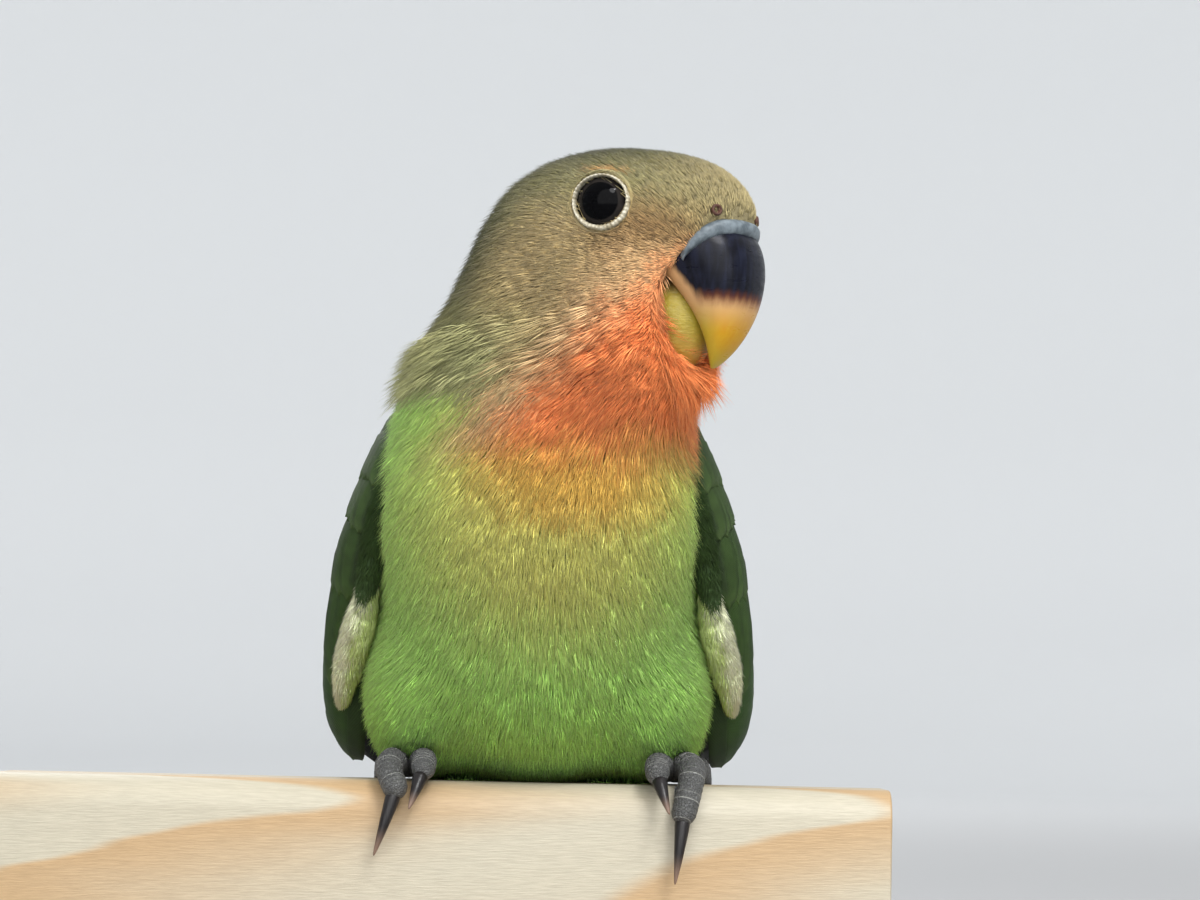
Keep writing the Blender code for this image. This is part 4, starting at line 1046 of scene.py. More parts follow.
def vane_faces():
    """The faces of one vane: its upper side, its under side and the four edges between them."""
    top, under = np.arange(2 * VANE_ROWS * VANE_COLUMNS).reshape(2, VANE_ROWS, VANE_COLUMNS)
    faces = [np.stack((top[:-1, :-1], top[:-1, 1:], top[1:, 1:], top[1:, :-1]), -1).reshape(-1, 4)]
    faces.append(
        np.stack((under[:-1, :-1], under[1:, :-1], under[1:, 1:], under[:-1, 1:]), -1).reshape(-1, 4)
    )
    for over, below in (
        (top[:, 0], under[:, 0]), (top[::-1, -1], under[::-1, -1]),
        (top[-1], under[-1]), (top[0, ::-1], under[0, ::-1]),
    ):
        faces.append(np.stack((over[:-1], over[1:], below[1:], below[:-1]), -1))
    return np.concatenate(faces)


def vane_blades(shafts, outs, half_width, roll, rng, tip_round=0.5):
    """The points, faces, tones and unwrap of many vanes: shafts and outs are feather by row by place."""
    count = len(shafts)
    across = unit(np.cross(outs, np.gradient(shafts, axis=1)))
    along = np.linspace(0, 1, VANE_ROWS)
    into_tip = np.maximum(0.0, (along - (1 - tip_round)) / tip_round)
    width = np.minimum(1.0, 0.55 + along * 2.2) * np.maximum(0.0, 1 - into_tip**2.4) ** 0.5
    width = width * half_width * (1 + rng.normal(0, 0.035, (count, VANE_ROWS)))
    width = np.maximum(width, THINNEST_VANE)[..., None]
    place = np.linspace(-1, 1, VANE_COLUMNS)
    points = np.empty((count, 2, VANE_ROWS, VANE_COLUMNS, 3))
    for layer, shift in ((0, 0.5), (1, -0.5)):
        height = VANE_CAMBER * (1 - place**2) + VANE_THICKNESS * (1 - 0.6 * place**2) * shift
        height = height + roll * place * np.minimum(1.0, width)
        height = height + (np.abs(place) < 0.05) * SHAFT_HEIGHT * (shift > 0)
        flat = shafts[:, :, None] + across[:, :, None] * (width * place)[..., None]
        points[:, layer] = flat + outs[:, :, None] * height[..., None]
    faces = vane_faces()[None] + (np.arange(count) * 2 * VANE_ROWS * VANE_COLUMNS)[:, None, None]
    tones = np.empty(points.shape)
    tones[..., 0] = rng.uniform(size=(count, 1, 1, 1)) + np.array((0.0, 1.0))[None, :, None, None]
    tones[..., 1] = along[:, None]
    tones[..., 2] = (place + 1) / 2
    cells = math.ceil(math.sqrt(count))
    which = np.arange(count)[:, None, None, None]
    layers = np.array((0.0, 0.46))[None, :, None, None]
    unwrap = np.empty(points.shape[:-1] + (2,))
    unwrap[..., 0] = (which % cells + 0.06 + 0.4 * (place + 1) / 2 + layers) / cells
    unwrap[..., 1] = (which // cells + 0.05 + 0.9 * along[:, None]) / cells
    return points.reshape(-1, 3), faces.reshape(-1, 4), tones.reshape(-1, 3), unwrap.reshape(-1, 2)


def on_both_sides(name, points, faces, material, replaced=None, **layers):
    """A piece of the left wing, and its mirror image on the right one."""
    for side_name, sign in (("left", 1.0), ("right", -1.0)):
        side_faces = faces if sign > 0 else [block[:, ::-1] for block in faces]
        solids = (replaced + "_" + side_name,) if replaced else ()
        side_points = points * (sign, 1.0, 1.0)
        new_piece(f"{name}_{side_name}", side_points, side_faces, material, "wing_feathers", solids, **layers)


def vane_group():
    """The colour and relief of a vane: barbs slanting from a pale shaft, an outer and a darker inner web."""
    webs = (("Outer Web", "Color", None), ("Inner Web", "Color", None), ("Tip", "Color", None))
    limits = (("Tip Start", "Float", 0.8), ("Under", "Color", tint(34, 38, 30)))
    outputs = (("Color", "Color"), ("Height", "Float"), ("Roughness", "Float"))
    group, given, made = new_group("vane", webs + limits, outputs)
    own, along, across = tone_parts(group)
    centred = minus(group, across, 0.5)
    off = math_node(group, "ABSOLUTE", centred)
    slant = minus(group, times(group, along, 46.0), times(group, off, 22.0))
    line = math_node(group, "ABSOLUTE", math_node(group, "SINE", times(group, slant, math.pi)))
    shaft = ease(group, off, 0.012, 0.03, 1.0, 0.0)
    web = ease(group, centred, -0.06, 0.14)
    colour = blended(group, web, given.outputs["Inner Web"], given.outputs["Outer Web"])
    colour = blended(group, ease(group, along, given.outputs["Tip Start"], 1.0), colour, given.outputs["Tip"])
    colour = blended(group, ease(group, own, 1.0, 1.01), colour, given.outputs["Under"])
    ragged = ease(group, noise(group, object_place(group), 700.0, 3.0), 0.3, 0.7, 0.86, 1.12)
    between = ranged(group, own, 0.0, 1.0, 0.82, 1.12)
    shade = times(group, between, ranged(group, line, 0.0, 1.0, 0.82, 1.08), ragged)
    feed(made, "Color", shaded(group, colour, plus(group, shade, times(group, shaft, 0.12))))
    feed(made, "Height", plus(group, line, shaft))
    feed(made, "Roughness", ranged(group, line, 0.0, 1.0, 0.74, 0.6))
    return group


def vane_finish(name, outer, inner, tip, tip_start=0.8, specular=0.22):
    """A finish for one tier of vanes, with its tree, its shader and its colour."""
    material, tree, shader = finish_of(name, 0.6, specular)
    paints = {"outer_web": tint(*outer), "inner_web": tint(*inner), "tip": tint(*tip)}
    look = use_of(tree, vane_look, tip_start=tip_start, **paints)
    feed(shader, "Base Color", look.outputs["Color"])
    feed(shader, "Roughness", look.outputs["Roughness"])
    bumped(shader, look.outputs["Height"], 0.00008, 0.8)
    return material, tree, shader, look.outputs["Color"]


def roll_finish(name, first, last, under):
    """The finish of the feathers on a roll: one colour passing into another from feather to feather, with
    painted shade in the under colour at each feather's root.
    """
    material, tree, shader = finish_of(name, 0.75, 0.2)
    own, along, shared = tone_parts(tree)
    colour = blended(tree, shared, tint(*first), tint(*last))
    # Painted shade: each feather passes into the under colour towards its root.
    colour = blended(tree, ease(tree, along, 0.0, 0.9), tint(*under), colour)
    feed(shader, "Base Color", shaded(tree, colour, ranged(tree, own, 0.0, 1.0, 0.9, 1.3)))
    return material


def between_rings(values, station):
    """Values of a roll's rings at places between them."""
    low = np.minimum(station.astype(int), ROLL_RINGS - 2)
    part = (station - low)[:, None]
    return values[low] * (1 - part) + values[low + 1] * part


def settler_on(heart, reach):
    """What settles points so far outside a roll with this middle line and these radii."""
    def settled(points, out, target):
        near = np.argmin(np.linalg.norm(points[..., None, :] - heart, axis=-1), axis=-1)
        spoke = unit(points - heart[near])
        return heart[near] + spoke * (reach[near] + target)[..., None]
    return settled


vane_look = vane_group()
rng = np.random.default_rng(7)
for tier, count, first, last, half_width, height in WING_TIERS:
    order = np.linspace(0, 1, count)[:, None]
    ends = np.array(first)[:, None, None] * (1 - order) + np.array(last)[:, None, None] * order
    root, tip, root_across, tip_across = ends
    tip = tip + rng.uniform(-0.008, 0.008, (count, 1))
    shape = np.linspace(0, 1, VANE_ROWS)[None]
    along = root + (tip - root) * shape
    across = root_across + (tip_across - root_across) * shape
    out = wing_out(along, across)
    rise = np.interp(np.broadcast_to(shape, along.shape), (0.0, 0.35, 1.0), (-0.9, height * 0.7, height))
    rise = rise + rng.uniform(-0.1, 0.1, (count, 1))
    shafts = wing_at(along, across) + out * rise[..., None]
    points, faces, tones, unwrap = vane_blades(shafts, out, half_width, VANE_ROLL, rng)
    finish = vane_finish(tier.replace("_", " "), *WING_COLOURS[tier])[0]
    on_both_sides(tier, points, [faces], finish, "wing", tones=tones, unwrap=unwrap)

for name, (line, radii, count, length, half_width, colours) in ROLLS.items():
    stations = np.linspace(0, 1, ROLL_RINGS)
    heart = curve_at(line, stations)
    reach = np.interp(stations, np.linspace(0, 1, len(radii)), radii)
    ways = unit(np.gradient(heart, axis=0))
    outer = unit(np.cross(ways, (0.0, -1.0, 0.2)))
    ahead = np.cross(outer, ways)
    ahead = ahead * np.where(ahead[:, 1:2] > 0, -1.0, 1.0)
    turn = np.linspace(0, 2 * math.pi, ROLL_SIDES, endpoint=False)[None, :, None]
    spokes = np.cos(turn) * ahead[:, None] + np.sin(turn) * outer[:, None]
    core_points, core_faces = tube(heart[:, None] + spokes * (reach * ROLL_CORE)[:, None, None])
    station = rng.uniform(0, ROLL_RINGS - 1, count)
    spin = rng.uniform(-2.0, 2.0, count)
    out = between_rings(ahead, station) * np.cos(spin)[:, None] + between_rings(outer, station) * np.sin(
        spin
    )[:, None]
    out = unit(out)
    root = between_rings(heart, station) + out * between_rings(reach[:, None], station) * ROLL_CORE
    lie = unit(beside(unit(between_rings(ways, station)), out))
    ones = np.ones(count)
    sizes = [length * rng.uniform(0.8, 1.2, count), half_width * ones, 0.4 * ones, 0.13 * ones]
    if name == "wing_edge":
        shared = smooth(station / (ROLL_RINGS - 1), 0.55, 1.0) * rng.uniform(0.2, 1.0, count)
    else:
        shared = np.clip(smooth(out[:, 0], -0.35, 0.25) + rng.normal(0, 0.15, count), 0, 1)
    place = np.stack((station / (ROLL_RINGS - 1), (spin + math.pi) / (2 * math.pi)), -1)
    lifts = rng.uniform(0.1, 0.6, count)
    settled = settler_on(heart, reach)
    points, faces, tones, unwrap, _ = feather_barbs(
        root, out, lie, place, sizes, ROLL_BARBS, lifts, settled, rng, shared,
    )
    core_tones = np.tile((0.4, 0.5, 0.5), (len(core_points), 1))
    core_unwrap = grid_unwrap(stations[:, None], (np.arange(ROLL_SIDES) / ROLL_SIDES)[None])
    on_both_sides(
        name, np.vstack((points, core_points)), [*faces, *(block + len(points) for block in core_faces)],
        roll_finish(name.replace("_", " ") + " feathers", *colours),
        tones=np.vstack((tones, core_tones)), unwrap=np.vstack((unwrap, core_unwrap, np.zeros((2, 2)))),
    )


# The tail. Ten long feathers lie almost in one plane under shorter coverts above and below, green with a blue
# cast, with an orange patch near the root and a dark bar before the pale tip.
TAIL_ROOT = np.array((0.0, 42.0, 4.6))
TAIL_TIP = np.array((0.0, 77.5, -22.5))
LONG_FEATHERS = 10
LONG_HALF_WIDTH = 3.1
LONG_COLOURS = ((58, 112, 52), (44, 92, 56), (62, 140, 96))
LONG_SPREAD = (5.6, 10.0)
LONG_DROP = 0.45
TAIL_COVERTS = (
    # name, count, half-width, root's and tip's share of the tail's line, spread and rise at both, colours
    (
        "upper_tail_coverts", 7, 2.4, (-0.10, 0.50), (5.0, 6.4), (2.6, 1.5),
        ((54, 124, 150), (50, 112, 120), (70, 140, 110)),
    ),
    (
        "rump_feathers", 7, 2.6, (-0.30, 0.30), (6.6, 6.6), (4.4, 3.4),
        ((50, 124, 176), (52, 116, 160), (66, 140, 190)),
    ),
    (
        "lower_tail_coverts", 7, 2.4, (-0.10, 0.58), (4.6, 6.0), (-3.4, -4.2),
        ((108, 156, 70), (100, 148, 66), (126, 170, 84)),
    ),
    (
        "vent_feathers", 7, 2.6, (-0.34, 0.34), (6.0, 6.4), (-5.4, -5.6),
        ((120, 164, 76), (112, 156, 72), (136, 176, 90)),
    ),
)
UNDER_TAIL = -2.5
SIDEWAYS = (1.0, 0.0, 0.0)
tail_way = TAIL_TIP - TAIL_ROOT
tail_up = unit(np.cross(tail_way, SIDEWAYS))
tail_up = tail_up * (1.0 if tail_up[2] > 0 else -1.0)


def tail_vanes(half_width, roots, tips, rises, rng):
    """Straight vanes of the tail, from their roots to their tips, at their heights over its line."""
    shape = np.linspace(0, 1, VANE_ROWS)[None, :, None]
    shafts = roots[:, None] * (1 - shape) + tips[:, None] * shape
    shafts = shafts + tail_up * (rises[:, :1, None] * (1 - shape) + rises[:, 1:, None] * shape)
    outs = np.broadcast_to(tail_up * (-1.0 if rises.mean() < UNDER_TAIL else 1.0), shafts.shape)
    return vane_blades(shafts, outs, half_width, 0.0, rng, tip_round=0.3)


tail_finish, tree, shader, green = vane_finish("tail feathers", *LONG_COLOURS, 0.86, 0.25)
_, along, across = tone_parts(tree)
off = math_node(tree, "ABSOLUTE", minus(tree, across, 0.5))
bar = times(tree, ease(tree, along, 0.70, 0.76), ease(tree, along, 0.82, 0.88, 1.0, 0.0))
warm = times(
    tree, ease(tree, along, 0.38, 0.5), ease(tree, along, 0.6, 0.7, 1.0, 0.0),
    ease(tree, off, 0.2, 0.42, 1.0, 0.0),
)
banded = blended(tree, bar, blended(tree, warm, green, tint(206, 92, 46)), tint(20, 24, 30))
feed(shader, "Base Color", banded)

rng = np.random.default_rng(11)
order = np.linspace(-1, 1, LONG_FEATHERS)
spread = np.outer(order, SIDEWAYS)
lengths = (1 - 0.16 * np.abs(order) ** 1.5)[:, None]
drops = (np.abs(order) * (LONG_FEATHERS - 1) / 2 - 0.5) * LONG_DROP
points, faces, tones, unwrap = tail_vanes(
    LONG_HALF_WIDTH, TAIL_ROOT + spread * LONG_SPREAD[0],
    TAIL_ROOT + tail_way * lengths + spread * LONG_SPREAD[1],
    np.stack((-drops * 0.5, -drops), -1), rng,
)
new_piece(
    "tail_feathers", points, [faces], tail_finish, "tail_feathers", ("tail",), tones=tones, unwrap=unwrap,
)
for name, count, half_width, shares, spreads, rises, colours in TAIL_COVERTS:
    order = np.linspace(-1, 1, count) + rng.uniform(-0.04, 0.04, count)
    spread = np.outer(order, SIDEWAYS)
    shorter = (1 - 0.12 * np.abs(order))[:, None]
    fall = np.array(rises)[None] - np.sign(rises[0]) * (1.3 * order**2)[:, None]
    points, faces, tones, unwrap = tail_vanes(
        half_width, TAIL_ROOT + tail_way * shares[0] + spread * spreads[0],
        TAIL_ROOT + tail_way * shares[1] * shorter + spread * spreads[1], fall, rng,
    )
    finish = vane_finish(name.replace("_", " "), *colours, 0.6)[0]
    new_piece(name, points, [faces], finish, "tail_feathers", tones=tones, unwrap=unwrap)


# The bill. A deep hooked upper mandible, dark horn at its base and amber at its tip, closes in front of a
# rounded olive-yellow lower one. A band of bare blue-grey skin crosses its root, with a nostril on each side.
CULMEN = ((11.8, -1.0), (18.6, -2.6), (17.2, -13.6), (11.2, -18.6))
TOMIUM = ((4.4, -6.6), (7.6, -9.2), (11.8, -13.4), (10.9, -18.7))
BILL_HALF_WIDTH = 6.5
BILL_RINGS, BILL_SIDES = 56, 96
BILL_FULLNESS = (0.8, 0.3)
LOWER_BILL_MIDDLE = (5.9, 0.0, -12.9)
LOWER_BILL_RADII = (5.0, 5.2, 5.9)
BALL_RINGS, BALL_SIDES = 42, 72
CERE_SIDES = 29
CERE_TALL = 1.6
CERE_ROWS = ((0.4, 0.36), (0.75, 0.3), (1.0, 0.02), (1.15, -0.6))
SEAM_OUT = 0.05
THREAD_RADIUS, THREAD_SIDES = 0.07, 6
NOSTRIL = (11.6, 3.9, -0.7)
NOSTRIL_LIP = ((0.72, -0.5), (0.68, -0.05), (0.56, 0.1), (0.44, 0.06), (0.34, -0.2), (0.15, -0.5))


def bezier(points, count):
    """Points at even steps along a cubic curve."""
    a, b, c, d = (np.asarray(point, float) for point in points)
    t = np.linspace(0, 1, count)[:, None]
    return a * (1 - t) ** 3 + 3 * b * t * (1 - t) ** 2 + 3 * c * t**2 * (1 - t) + d * t**3


def growth_group():
    """Fine growth lines of horn, and the streaks that run along it."""
    group, given, made = new_group(
        "horn growth", (("Scale", "Float", 1.0),), (("Height", "Float"), ("Streak", "Float")),
    )
    here = use_of(group, places).outputs["Head"]
    layered = stretched(group, here, (0.5, 0.4, 1.6))
    feed(made, "Height", noise(group, layered, given.outputs["Scale"], 5.0, 0.6))
    feed(made, "Streak", noise(group, stretched(group, here, (1.2, 1.4, 0.16)), 1.3, 3.0))
    return group


def horn_parts(tree, scale):
    """Where a point of the bill is, forward and up, and its growth lines and streaks."""
    forward, _, up = node(tree, "ShaderNodeSeparateXYZ", {0: use_of(tree, places).outputs["Head"]}).outputs
    return forward, up, *use_of(tree, horn_growth, scale=scale).outputs


def tube_piece(name, rings_of_points, material, slot, replaced=()):
    """A closed tube as a piece."""
    points, faces = tube(rings_of_points)
    new_piece(name, points, outward(points, faces), material, slot, replaced)


horn_growth = growth_group()
bill_finish, tree, shader = finish_of("upper bill horn", 0.3, 0.12, coat_weight=0.05, coat_roughness=0.2)
forward, up, lines, streak = horn_parts(tree, 1.0)
behind = math_node(tree, "MAXIMUM", minus(tree, 11.0, forward), 0.0)
level_up = minus(tree, plus(tree, up, 10.4), times(tree, behind, 1.15))
level_up = plus(tree, level_up, ease(tree, streak, 0.3, 0.7, -0.35, -0.05))
amber = blended(tree, streak, tint(190, 150, 38), tint(184, 124, 16))
amber = blended(tree, ease(tree, forward, 10.6, 14.2), tint(166, 150, 52), amber)
pale = blended(tree, ease(tree, up, -15.0, -10.5), amber, tint(186, 148, 104))
brown = blended(tree, ease(tree, level_up, -2.0, 0.0), pale, tint(96, 52, 34))
edge_pale = blended(tree, ease(tree, forward, 10.0, 12.5, 1.0, 0.0), brown, pale)
navy = blended(tree, ease(tree, streak, 0.35, 0.75), tint(9, 10, 19), tint(22, 25, 40))
feed(shader, "Base Color", blended(tree, ease(tree, level_up, -1.0, 0.7), edge_pale, navy))
feed(shader, "Roughness", ease(tree, lines, 0.3, 0.7, 0.26, 0.42))
bumped(shader, lines, 0.00006, 0.6)

lower_finish, tree, shader = finish_of("lower bill horn", 0.42)
_, up, lines, streak = horn_parts(tree, 1.6)
olive = blended(tree, streak, tint(160, 142, 38), tint(122, 108, 24))
olive = blended(tree, ease(tree, up, -17.5, -13.0), tint(172, 142, 58), olive)
# Painted shade: the top of the lower bill, just under the upper bill's edge, is painted dark brown.
feed(shader, "Base Color", blended(tree, ease(tree, up, -11.0, -8.2), olive, tint(92, 72, 52)))
bumped(shader, lines, 0.0002)

culmen, tomium = bezier(CULMEN, BILL_RINGS), bezier(TOMIUM, BILL_RINGS)
turn = np.linspace(0, 2 * math.pi, BILL_SIDES, endpoint=False)
share = np.linspace(0, 1, BILL_RINGS)[:, None]
width = BILL_HALF_WIDTH * (1 - share**1.7) ** 0.75 + 0.35 * share
middle, half = 0.5 * (culmen + tomium), 0.5 * (culmen - tomium)
spread = np.abs(np.sin(turn)) ** np.where(np.cos(turn) > 0, *BILL_FULLNESS) * np.sign(np.sin(turn))
forth, rise = (middle[:, k:k + 1] + half[:, k:k + 1] * np.cos(turn) for k in (0, 1))
bill_rings = np.stack((forth, width * spread[None], rise), -1)
tube_piece("upper_bill", from_head(bill_rings), bill_finish, "upper_bill", ("bill_upper",))

lifts = np.linspace(-math.pi / 2, math.pi / 2, BALL_RINGS)[1:-1, None]
turn = np.linspace(0, 2 * math.pi, BALL_SIDES, endpoint=False)[None]
ball = np.stack((np.cos(lifts) * np.cos(turn), np.cos(lifts) * np.sin(turn), np.sin(lifts) + 0 * turn), -1)
tube_piece(
    "lower_bill", from_head(ball * LOWER_BILL_RADII + LOWER_BILL_MIDDLE), lower_finish, "lower_bill",
    ("bill_lower",),
)

cere_finish, tree, shader = finish_of("cere skin", 0.5)
pores = noise(tree, object_place(tree), 900.0, 4.0)
feed(shader, "Base Color", blended(tree, ease(tree, pores, 0.3, 0.7), tint(72, 82, 88), tint(112, 122, 128)))
bumped(shader, pores, 0.00015)
around = bill_rings[:, np.arange(-CERE_SIDES, CERE_SIDES + 1)]
outside = body_distance(from_head(around))
leaving = np.argmax(outside > SEAM_OUT, axis=0)
before = np.maximum(leaving - 1, 0)
column = np.arange(2 * CERE_SIDES + 1)
step = outside[leaving, column] - outside[before, column]
part = np.where(leaving > 0, (SEAM_OUT - outside[before, column]) / np.where(step == 0, 1.0, step), 0.0)[
    :, None,
]
seam = around[before, column] * (1 - part) + around[leaving, column] * part
seam = np.stack([np.convolve(np.pad(line, 4, "edge"), np.ones(9) / 9, "valid") for line in seam.T], axis=-1)
off_bill = unit(seam - (middle[0, 0], 0.0, middle[0, 1]))
span = np.linspace(-1, 1, len(column))[:, None]
tall = CERE_TALL * np.clip(1.12 - span**2, 0.12, 1.0)
back = unit(beside(BILL_PLANE_BACK, out_of_body(from_head(seam)) @ HEAD_AXES.T))
rows = [seam - off_bill * 0.6, seam - back * 0.22 + off_bill * 0.12, seam + back * 0.1 + off_bill * 0.26]
for share, rise in CERE_ROWS:
    spots = from_head(seam + back * share * tall)
    out = out_of_body(spots)
    for _ in range(3):
        spots = spots + out * (rise - body_distance(spots))[:, None]
    rows.append(in_head(spots))
rows.append(seam - off_bill * 1.2 + back * 0.5 * tall)
tube_piece("cere", from_head(np.stack(rows, axis=1)), cere_finish, "upper_bill")

# A thin pale thread laid along the seam between the cere and the bill.
line_finish, _, shader = finish_of("pale seam thread", 0.6)
shader.inputs["Base Color"].default_value = tint(190, 194, 190)
cross = np.linspace(0, 2 * math.pi, THREAD_SIDES, endpoint=False)[None, :, None]
thread = (seam - back * 0.26 + off_bill * 0.14)[:, None]
thread = thread + (np.cos(cross) * off_bill[:, None] + np.sin(cross) * back[:, None]) * THREAD_RADIUS
tube_piece("bill_seam", from_head(thread), line_finish, "upper_bill")

nostril_finish, tree, shader = finish_of("nostril skin", 0.7)
depth = noise(tree, object_place(tree), 2500.0)
feed(shader, "Base Color", blended(tree, depth, tint(44, 24, 18), tint(96, 58, 42)))
for side_name, sign in (("left", 1.0), ("right", -1.0)):
    hit = from_head((NOSTRIL[0], NOSTRIL[1] * sign, NOSTRIL[2]))
    for _ in range(6):
        hit = hit - out_of_body(hit[None])[0] * body_distance(hit[None])[0]
    axis = out_of_body(hit[None])[0]
    flat = unit(np.cross(axis, (0.0, 0.0, 1.0)))
    circle = np.cos(turn[0])[:, None] * flat + np.sin(turn[0])[:, None] * np.cross(axis, flat)
    lip = [hit + circle * reach + axis * rise for reach, rise in NOSTRIL_LIP]
    tube_piece("nostril_" + side_name, lip, nostril_finish, "upper_bill")


# The eyes. A glossy dark ball with a thin grey-brown iris round a wide pupil, in a ring of bare cream skin
# whose edge is beaded and widest below and in front.
EYE_RADIUS = 3.9
PUPIL_RADIUS, IRIS_RADIUS = 2.25, 2.85
CORNEA_RISE = 0.035
LID_OUT = 2.7
LID_RADII = (3.45, 3.25)
LID_BEADS, LID_STEPS, LID_SIDES = 42, 8, 12
BEAD_HEIGHT = 0.028

eye_turn = math.radians(EYE_FORWARD)
lid_finish, tree, shader = finish_of("bare eyelid", 0.45)
grain = noise(tree, object_place(tree), 1500.0, 3.0)
feed(
    shader, "Base Color",
    blended(tree, ease(tree, grain, 0.35, 0.65), tint(150, 140, 116), tint(196, 190, 170)),
)
bumped(shader, grain, 0.00012)
for side_name, sign in (("left", 1.0), ("right", -1.0)):
    out = np.array((math.sin(eye_turn), math.cos(eye_turn) * sign, 0.0))
    ahead = np.array((math.cos(eye_turn), -math.sin(eye_turn) * sign, 0.0))
    rise = np.array((0.0, 0.0, 1.0))
    centre = np.array((EYE_CENTRE[0], EYE_CENTRE[1] * sign, EYE_CENTRE[2]))
    eye_finish, tree, shader = finish_of("eye " + side_name, 0.03, 0.045)
    local = vector_node(tree, "SUBTRACT", object_place(tree), tuple(place_of(from_head(centre))))
    off_axis = vector_node(tree, "CROSS_PRODUCT", local, tuple(out @ HEAD_AXES))
    reach = math_node(tree, "DIVIDE", vector_node(tree, "LENGTH", off_axis, output="Value"), MM)
    iris = blended(tree, noise(tree, local, 1600.0, 3.0), tint(22, 20, 18), tint(48, 44, 42))
    dark = blended(tree, ease(tree, reach, PUPIL_RADIUS - 0.08, PUPIL_RADIUS + 0.1), tint(4, 4, 5), iris)
    rim = ease(tree, reach, IRIS_RADIUS - 0.1, IRIS_RADIUS + 0.1)
    feed(shader, "Base Color", blended(tree, rim, dark, tint(12, 11, 12)))
    eyeball = ball * EYE_RADIUS
    bulge = 1 + CORNEA_RISE * smooth(eyeball @ out, 2.4, EYE_RADIUS)
    eyeball = from_head(eyeball * bulge[..., None] + centre)
    tube_piece("eyeball_" + side_name, eyeball, eye_finish, "eye", ("eye_" + side_name,))
    around = np.linspace(0, 2 * math.pi, LID_BEADS * LID_STEPS, endpoint=False)
    beads = BEAD_HEIGHT * np.cos(around * LID_BEADS)
    wide = 0.17 + 0.2 * smooth(np.cos(around + 1.1), -0.3, 1.0) + beads + rng.normal(0, 0.008, len(around))
    cross = np.linspace(0, 2 * math.pi, LID_SIDES, endpoint=False)
    forth, upward = np.cos(around)[:, None], np.sin(around)[:, None]
    spoke = ahead * forth + rise * upward
    path = centre + out * LID_OUT + ahead * LID_RADII[0] * forth + rise * LID_RADII[1] * upward - spoke * 0.1
    widths, heights = np.cos(cross) * wide[:, None], np.sin(cross) * (0.75 + beads[:, None] * 1.5)
    lid_rings = path[:, None] + spoke[:, None] * widths[..., None] + out * heights[..., None]
    index = np.arange(len(around) * LID_SIDES).reshape(-1, LID_SIDES)
    after = np.roll(index, -1, axis=0)
    walls = np.stack((index, np.roll(index, -1, axis=1), np.roll(after, -1, axis=1), after), -1).reshape(
        -1, 4,
    )
    points = from_head(lid_rings.reshape(-1, 3))
    new_piece("eyelid_" + side_name, points, outward(points, [walls]), lid_finish, "eye")


# The feet. Each has two toes ahead and two behind, wrapped over the bar. Bands of overlapping scutes run over
# the top of every toe, with fine round scales below, and a curved black claw paler at its tip grows from its
# end.
FEET_X = 0.8
ANKLE = (15.6, 1.0, 4.2)
ANKLE_RADII = (2.0, 2.1)
SOLE = (15.9, -0.4, 2.0)
OUTER_DROP = {"left": -3.3, "right": -0.9}
OUTER_LEAN = {"left": -0.1, "right": 0.28}
TOES = {
    # points after the sole, radii at root and end, claw's length and way; None is the foot's own drop or lean
    "outer_front": (
        ((17.8, -5.8, 2.3), (18.4, -10.0, 1.2), (17.4, -12.35, None)), (1.9, 1.5), 7.0, (None, -0.22, -0.97),
    ),
    "inner_front": (
        ((14.9, -5.0, 2.2), (14.2, -9.4, 2.3), (14.2, -11.6, 1.4)), (1.8, 1.4), 4.4, (0.22, -0.6, -0.75),
    ),
    "outer_back": (
        ((18.6, 4.4, 1.9), (19.8, 8.0, 1.6), (20.2, 11.2, -0.6)), (1.8, 1.3), 5.6, (0.0, 0.5, -0.85),
    ),
    "inner_back": (
        ((14.2, 3.8, 1.9), (13.4, 7.2, 1.8), (13.2, 9.8, 1.2)), (1.7, 1.2), 4.4, (0.0, 0.5, -0.85),
    ),
}
CLAW_RADIUS = 0.85
CLAW_BEND = 0.22
CLAW_ROOT = -0.22
CLAW_TIP = 0.07
CLAW_RINGS, CLAW_SIDES = 44, 20
SCUTE_LENGTH = 0.66
TOE_RINGS, TOE_SIDES = 96, 28


def swept(line, radii, sides, relief=0.0):
    """Rings along a line, domed at both ends, with a relief given ring by side, each ring's first side up."""
    ways = unit(np.gradient(line, axis=0))
    upward = np.empty_like(line)
    carried = np.array((0.0, -0.35, 1.0))
    for index, way in enumerate(ways):
        carried = unit(carried - way * np.dot(carried, way))
        upward[index] = carried
    across = np.cross(ways, upward)
    turn = np.linspace(0, 2 * math.pi, sides, endpoint=False)[None, :, None]
    steps = np.concatenate(([0.0], np.cumsum(np.linalg.norm(np.diff(line, axis=0), axis=1))))
    from_end = np.minimum(steps, steps[-1] - steps)
    dome = np.sqrt(np.clip(1 - (1 - np.clip(from_end / radii, 0, 1)) ** 2, 0.0016, 1))
    reach = (radii * dome)[:, None] * (1 + relief) * np.ones(sides)
    spokes = np.cos(turn) * upward[:, None] + np.sin(turn) * across[:, None]
    return line[:, None] + spokes * reach[..., None]


def along_tones(values):
    """Tones that only say how far along each point lies."""
    return np.outer(values, (0.0, 1.0, 0.0))


foot_finish, tree, shader = finish_of("scaly toes", 0.55)
here = object_place(tree)
cells = node(
    tree, "ShaderNodeTexVoronoi", {"Vector": here, "Scale": 2400.0}, feature="DISTANCE_TO_EDGE",
).outputs[0]
_, lap, _ = tone_parts(tree)
grey = blended(tree, noise(tree, here, 500.0, 4.0), tint(50, 51, 52), tint(82, 82, 80))
grey = blended(tree, ease(tree, cells, 0.02, 0.12, 0.35, 0.0), grey, tint(112, 112, 108))
feed(shader, "Base Color", blended(tree, ease(tree, lap, 0.7, 1.0), grey, tint(150, 150, 144)))
bumped(shader, ease(tree, cells, 0.0, 0.2), 0.00012)

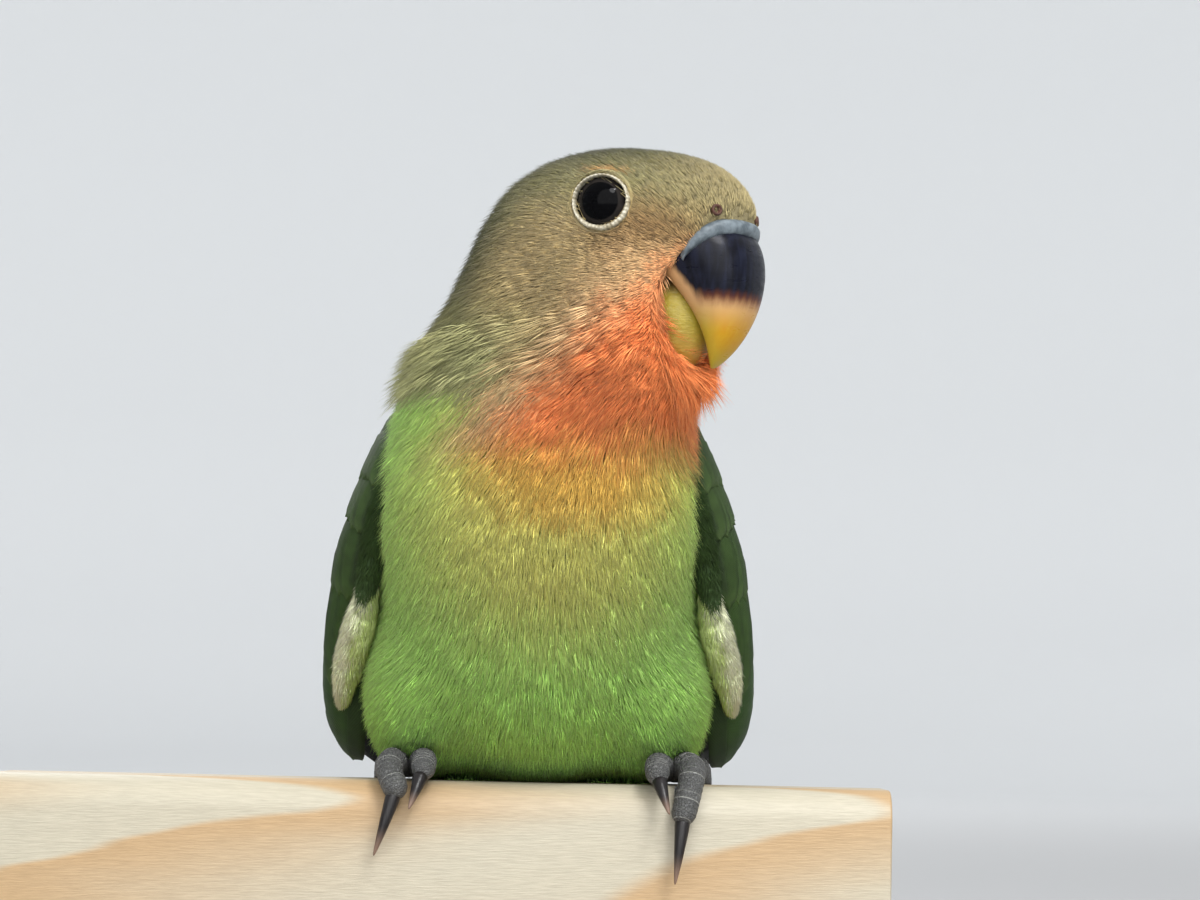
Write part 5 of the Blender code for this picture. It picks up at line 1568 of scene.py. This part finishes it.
claw_finish, tree, shader = finish_of("claw horn", 0.34, 0.3)
_, along, _ = tone_parts(tree)
fibres = noise(tree, stretched(tree, object_place(tree), (2500.0, 2500.0, 300.0)), 1.0, 3.0)
horn = blended(tree, fibres, tint(14, 13, 14), tint(34, 30, 30))
feed(shader, "Base Color", blended(tree, ease(tree, along, 0.45, 0.95), horn, tint(120, 98, 84)))
bumped(shader, fibres, 0.00005)

for side_name, sign in (("left", 1.0), ("right", -1.0)):
    mirror, shift = (sign, 1.0, 1.0), np.array((FEET_X, 0.0, 0.0))
    routes = {"ankle": ((ANKLE, SOLE), ANKLE_RADII)}
    claws = {}
    for toe, (route, radii, claw_length, way) in TOES.items():
        drop = OUTER_DROP[side_name] if route[-1][2] is None else route[-1][2]
        last = np.array((*route[-1][:2], drop))
        end = last + unit(last - np.array(route[-2])) * radii[1] * 0.9
        routes[toe] = ((SOLE, *route[:-1], end), radii)
        way = unit(np.array((OUTER_LEAN[side_name] if way[0] is None else way[0], *way[1:])))
        claws[toe] = (last + way * radii[1], way, claw_length)
    toe_points, toe_walls, toe_fans, toe_tones = [], [], [], []
    for route, radii in routes.values():
        line = curve_at(route, np.linspace(0, 1, TOE_RINGS)) * mirror + shift
        length = np.sum(np.linalg.norm(np.diff(line, axis=0), axis=1))
        lap = (np.linspace(0, length / SCUTE_LENGTH, TOE_RINGS) % 1.0) ** 1.5
        top = np.clip(np.cos(np.linspace(0, 2 * math.pi, TOE_SIDES, endpoint=False)), -0.2, 1) * 0.8 + 0.2
        relief = (0.17 * lap[:, None] - 0.08) * np.maximum(top, 0.15)[None]
        points, faces = tube(clear_of_bar(swept(line, np.linspace(*radii, TOE_RINGS), TOE_SIDES, relief)))
        walls, fans = outward(points, faces)
        offset = sum(len(part) for part in toe_points)
        toe_points.append(points)
        toe_walls.append(walls + offset)
        toe_fans.append(fans + offset)
        toe_tones.append(along_tones(np.append(np.repeat(lap, TOE_SIDES), (0.0, 0.0))))
    for toe, (claw_root, way, claw_length) in claws.items():
        ahead = (0.0, 1.0 if toe.endswith("front") else -1.0, 0.3)
        hollow = unit(np.cross(np.cross(way, ahead), way))
        share = np.linspace(CLAW_ROOT, 1, CLAW_RINGS)[:, None]
        bend = hollow * claw_length * CLAW_BEND * (share**2 - 0.4 * share)
        line = (claw_root + way * claw_length * share + bend) * mirror + shift
        thick = CLAW_RADIUS * np.clip(1 - share[:, 0], 0.0, 1.0) ** 0.75 + CLAW_TIP
        points, faces = tube(swept(line, thick, CLAW_SIDES))
        tones = along_tones(np.append(np.repeat(np.clip(share[:, 0], 0, 1), CLAW_SIDES), (0.0, 1.0)))
        solids = (f"claw_{side_name}_{toe}",)
        new_piece(
            f"talon_{side_name}_{toe}", points, outward(points, faces), claw_finish, "claw", solids,
            tones=tones,
        )
    new_piece(
        "toes_" + side_name, np.vstack(toe_points), [
            np.concatenate(toe_walls), np.concatenate(toe_fans),
        ], foot_finish,
        "foot_skin", ("foot_" + side_name,), tones=np.vstack(toe_tones),
    )
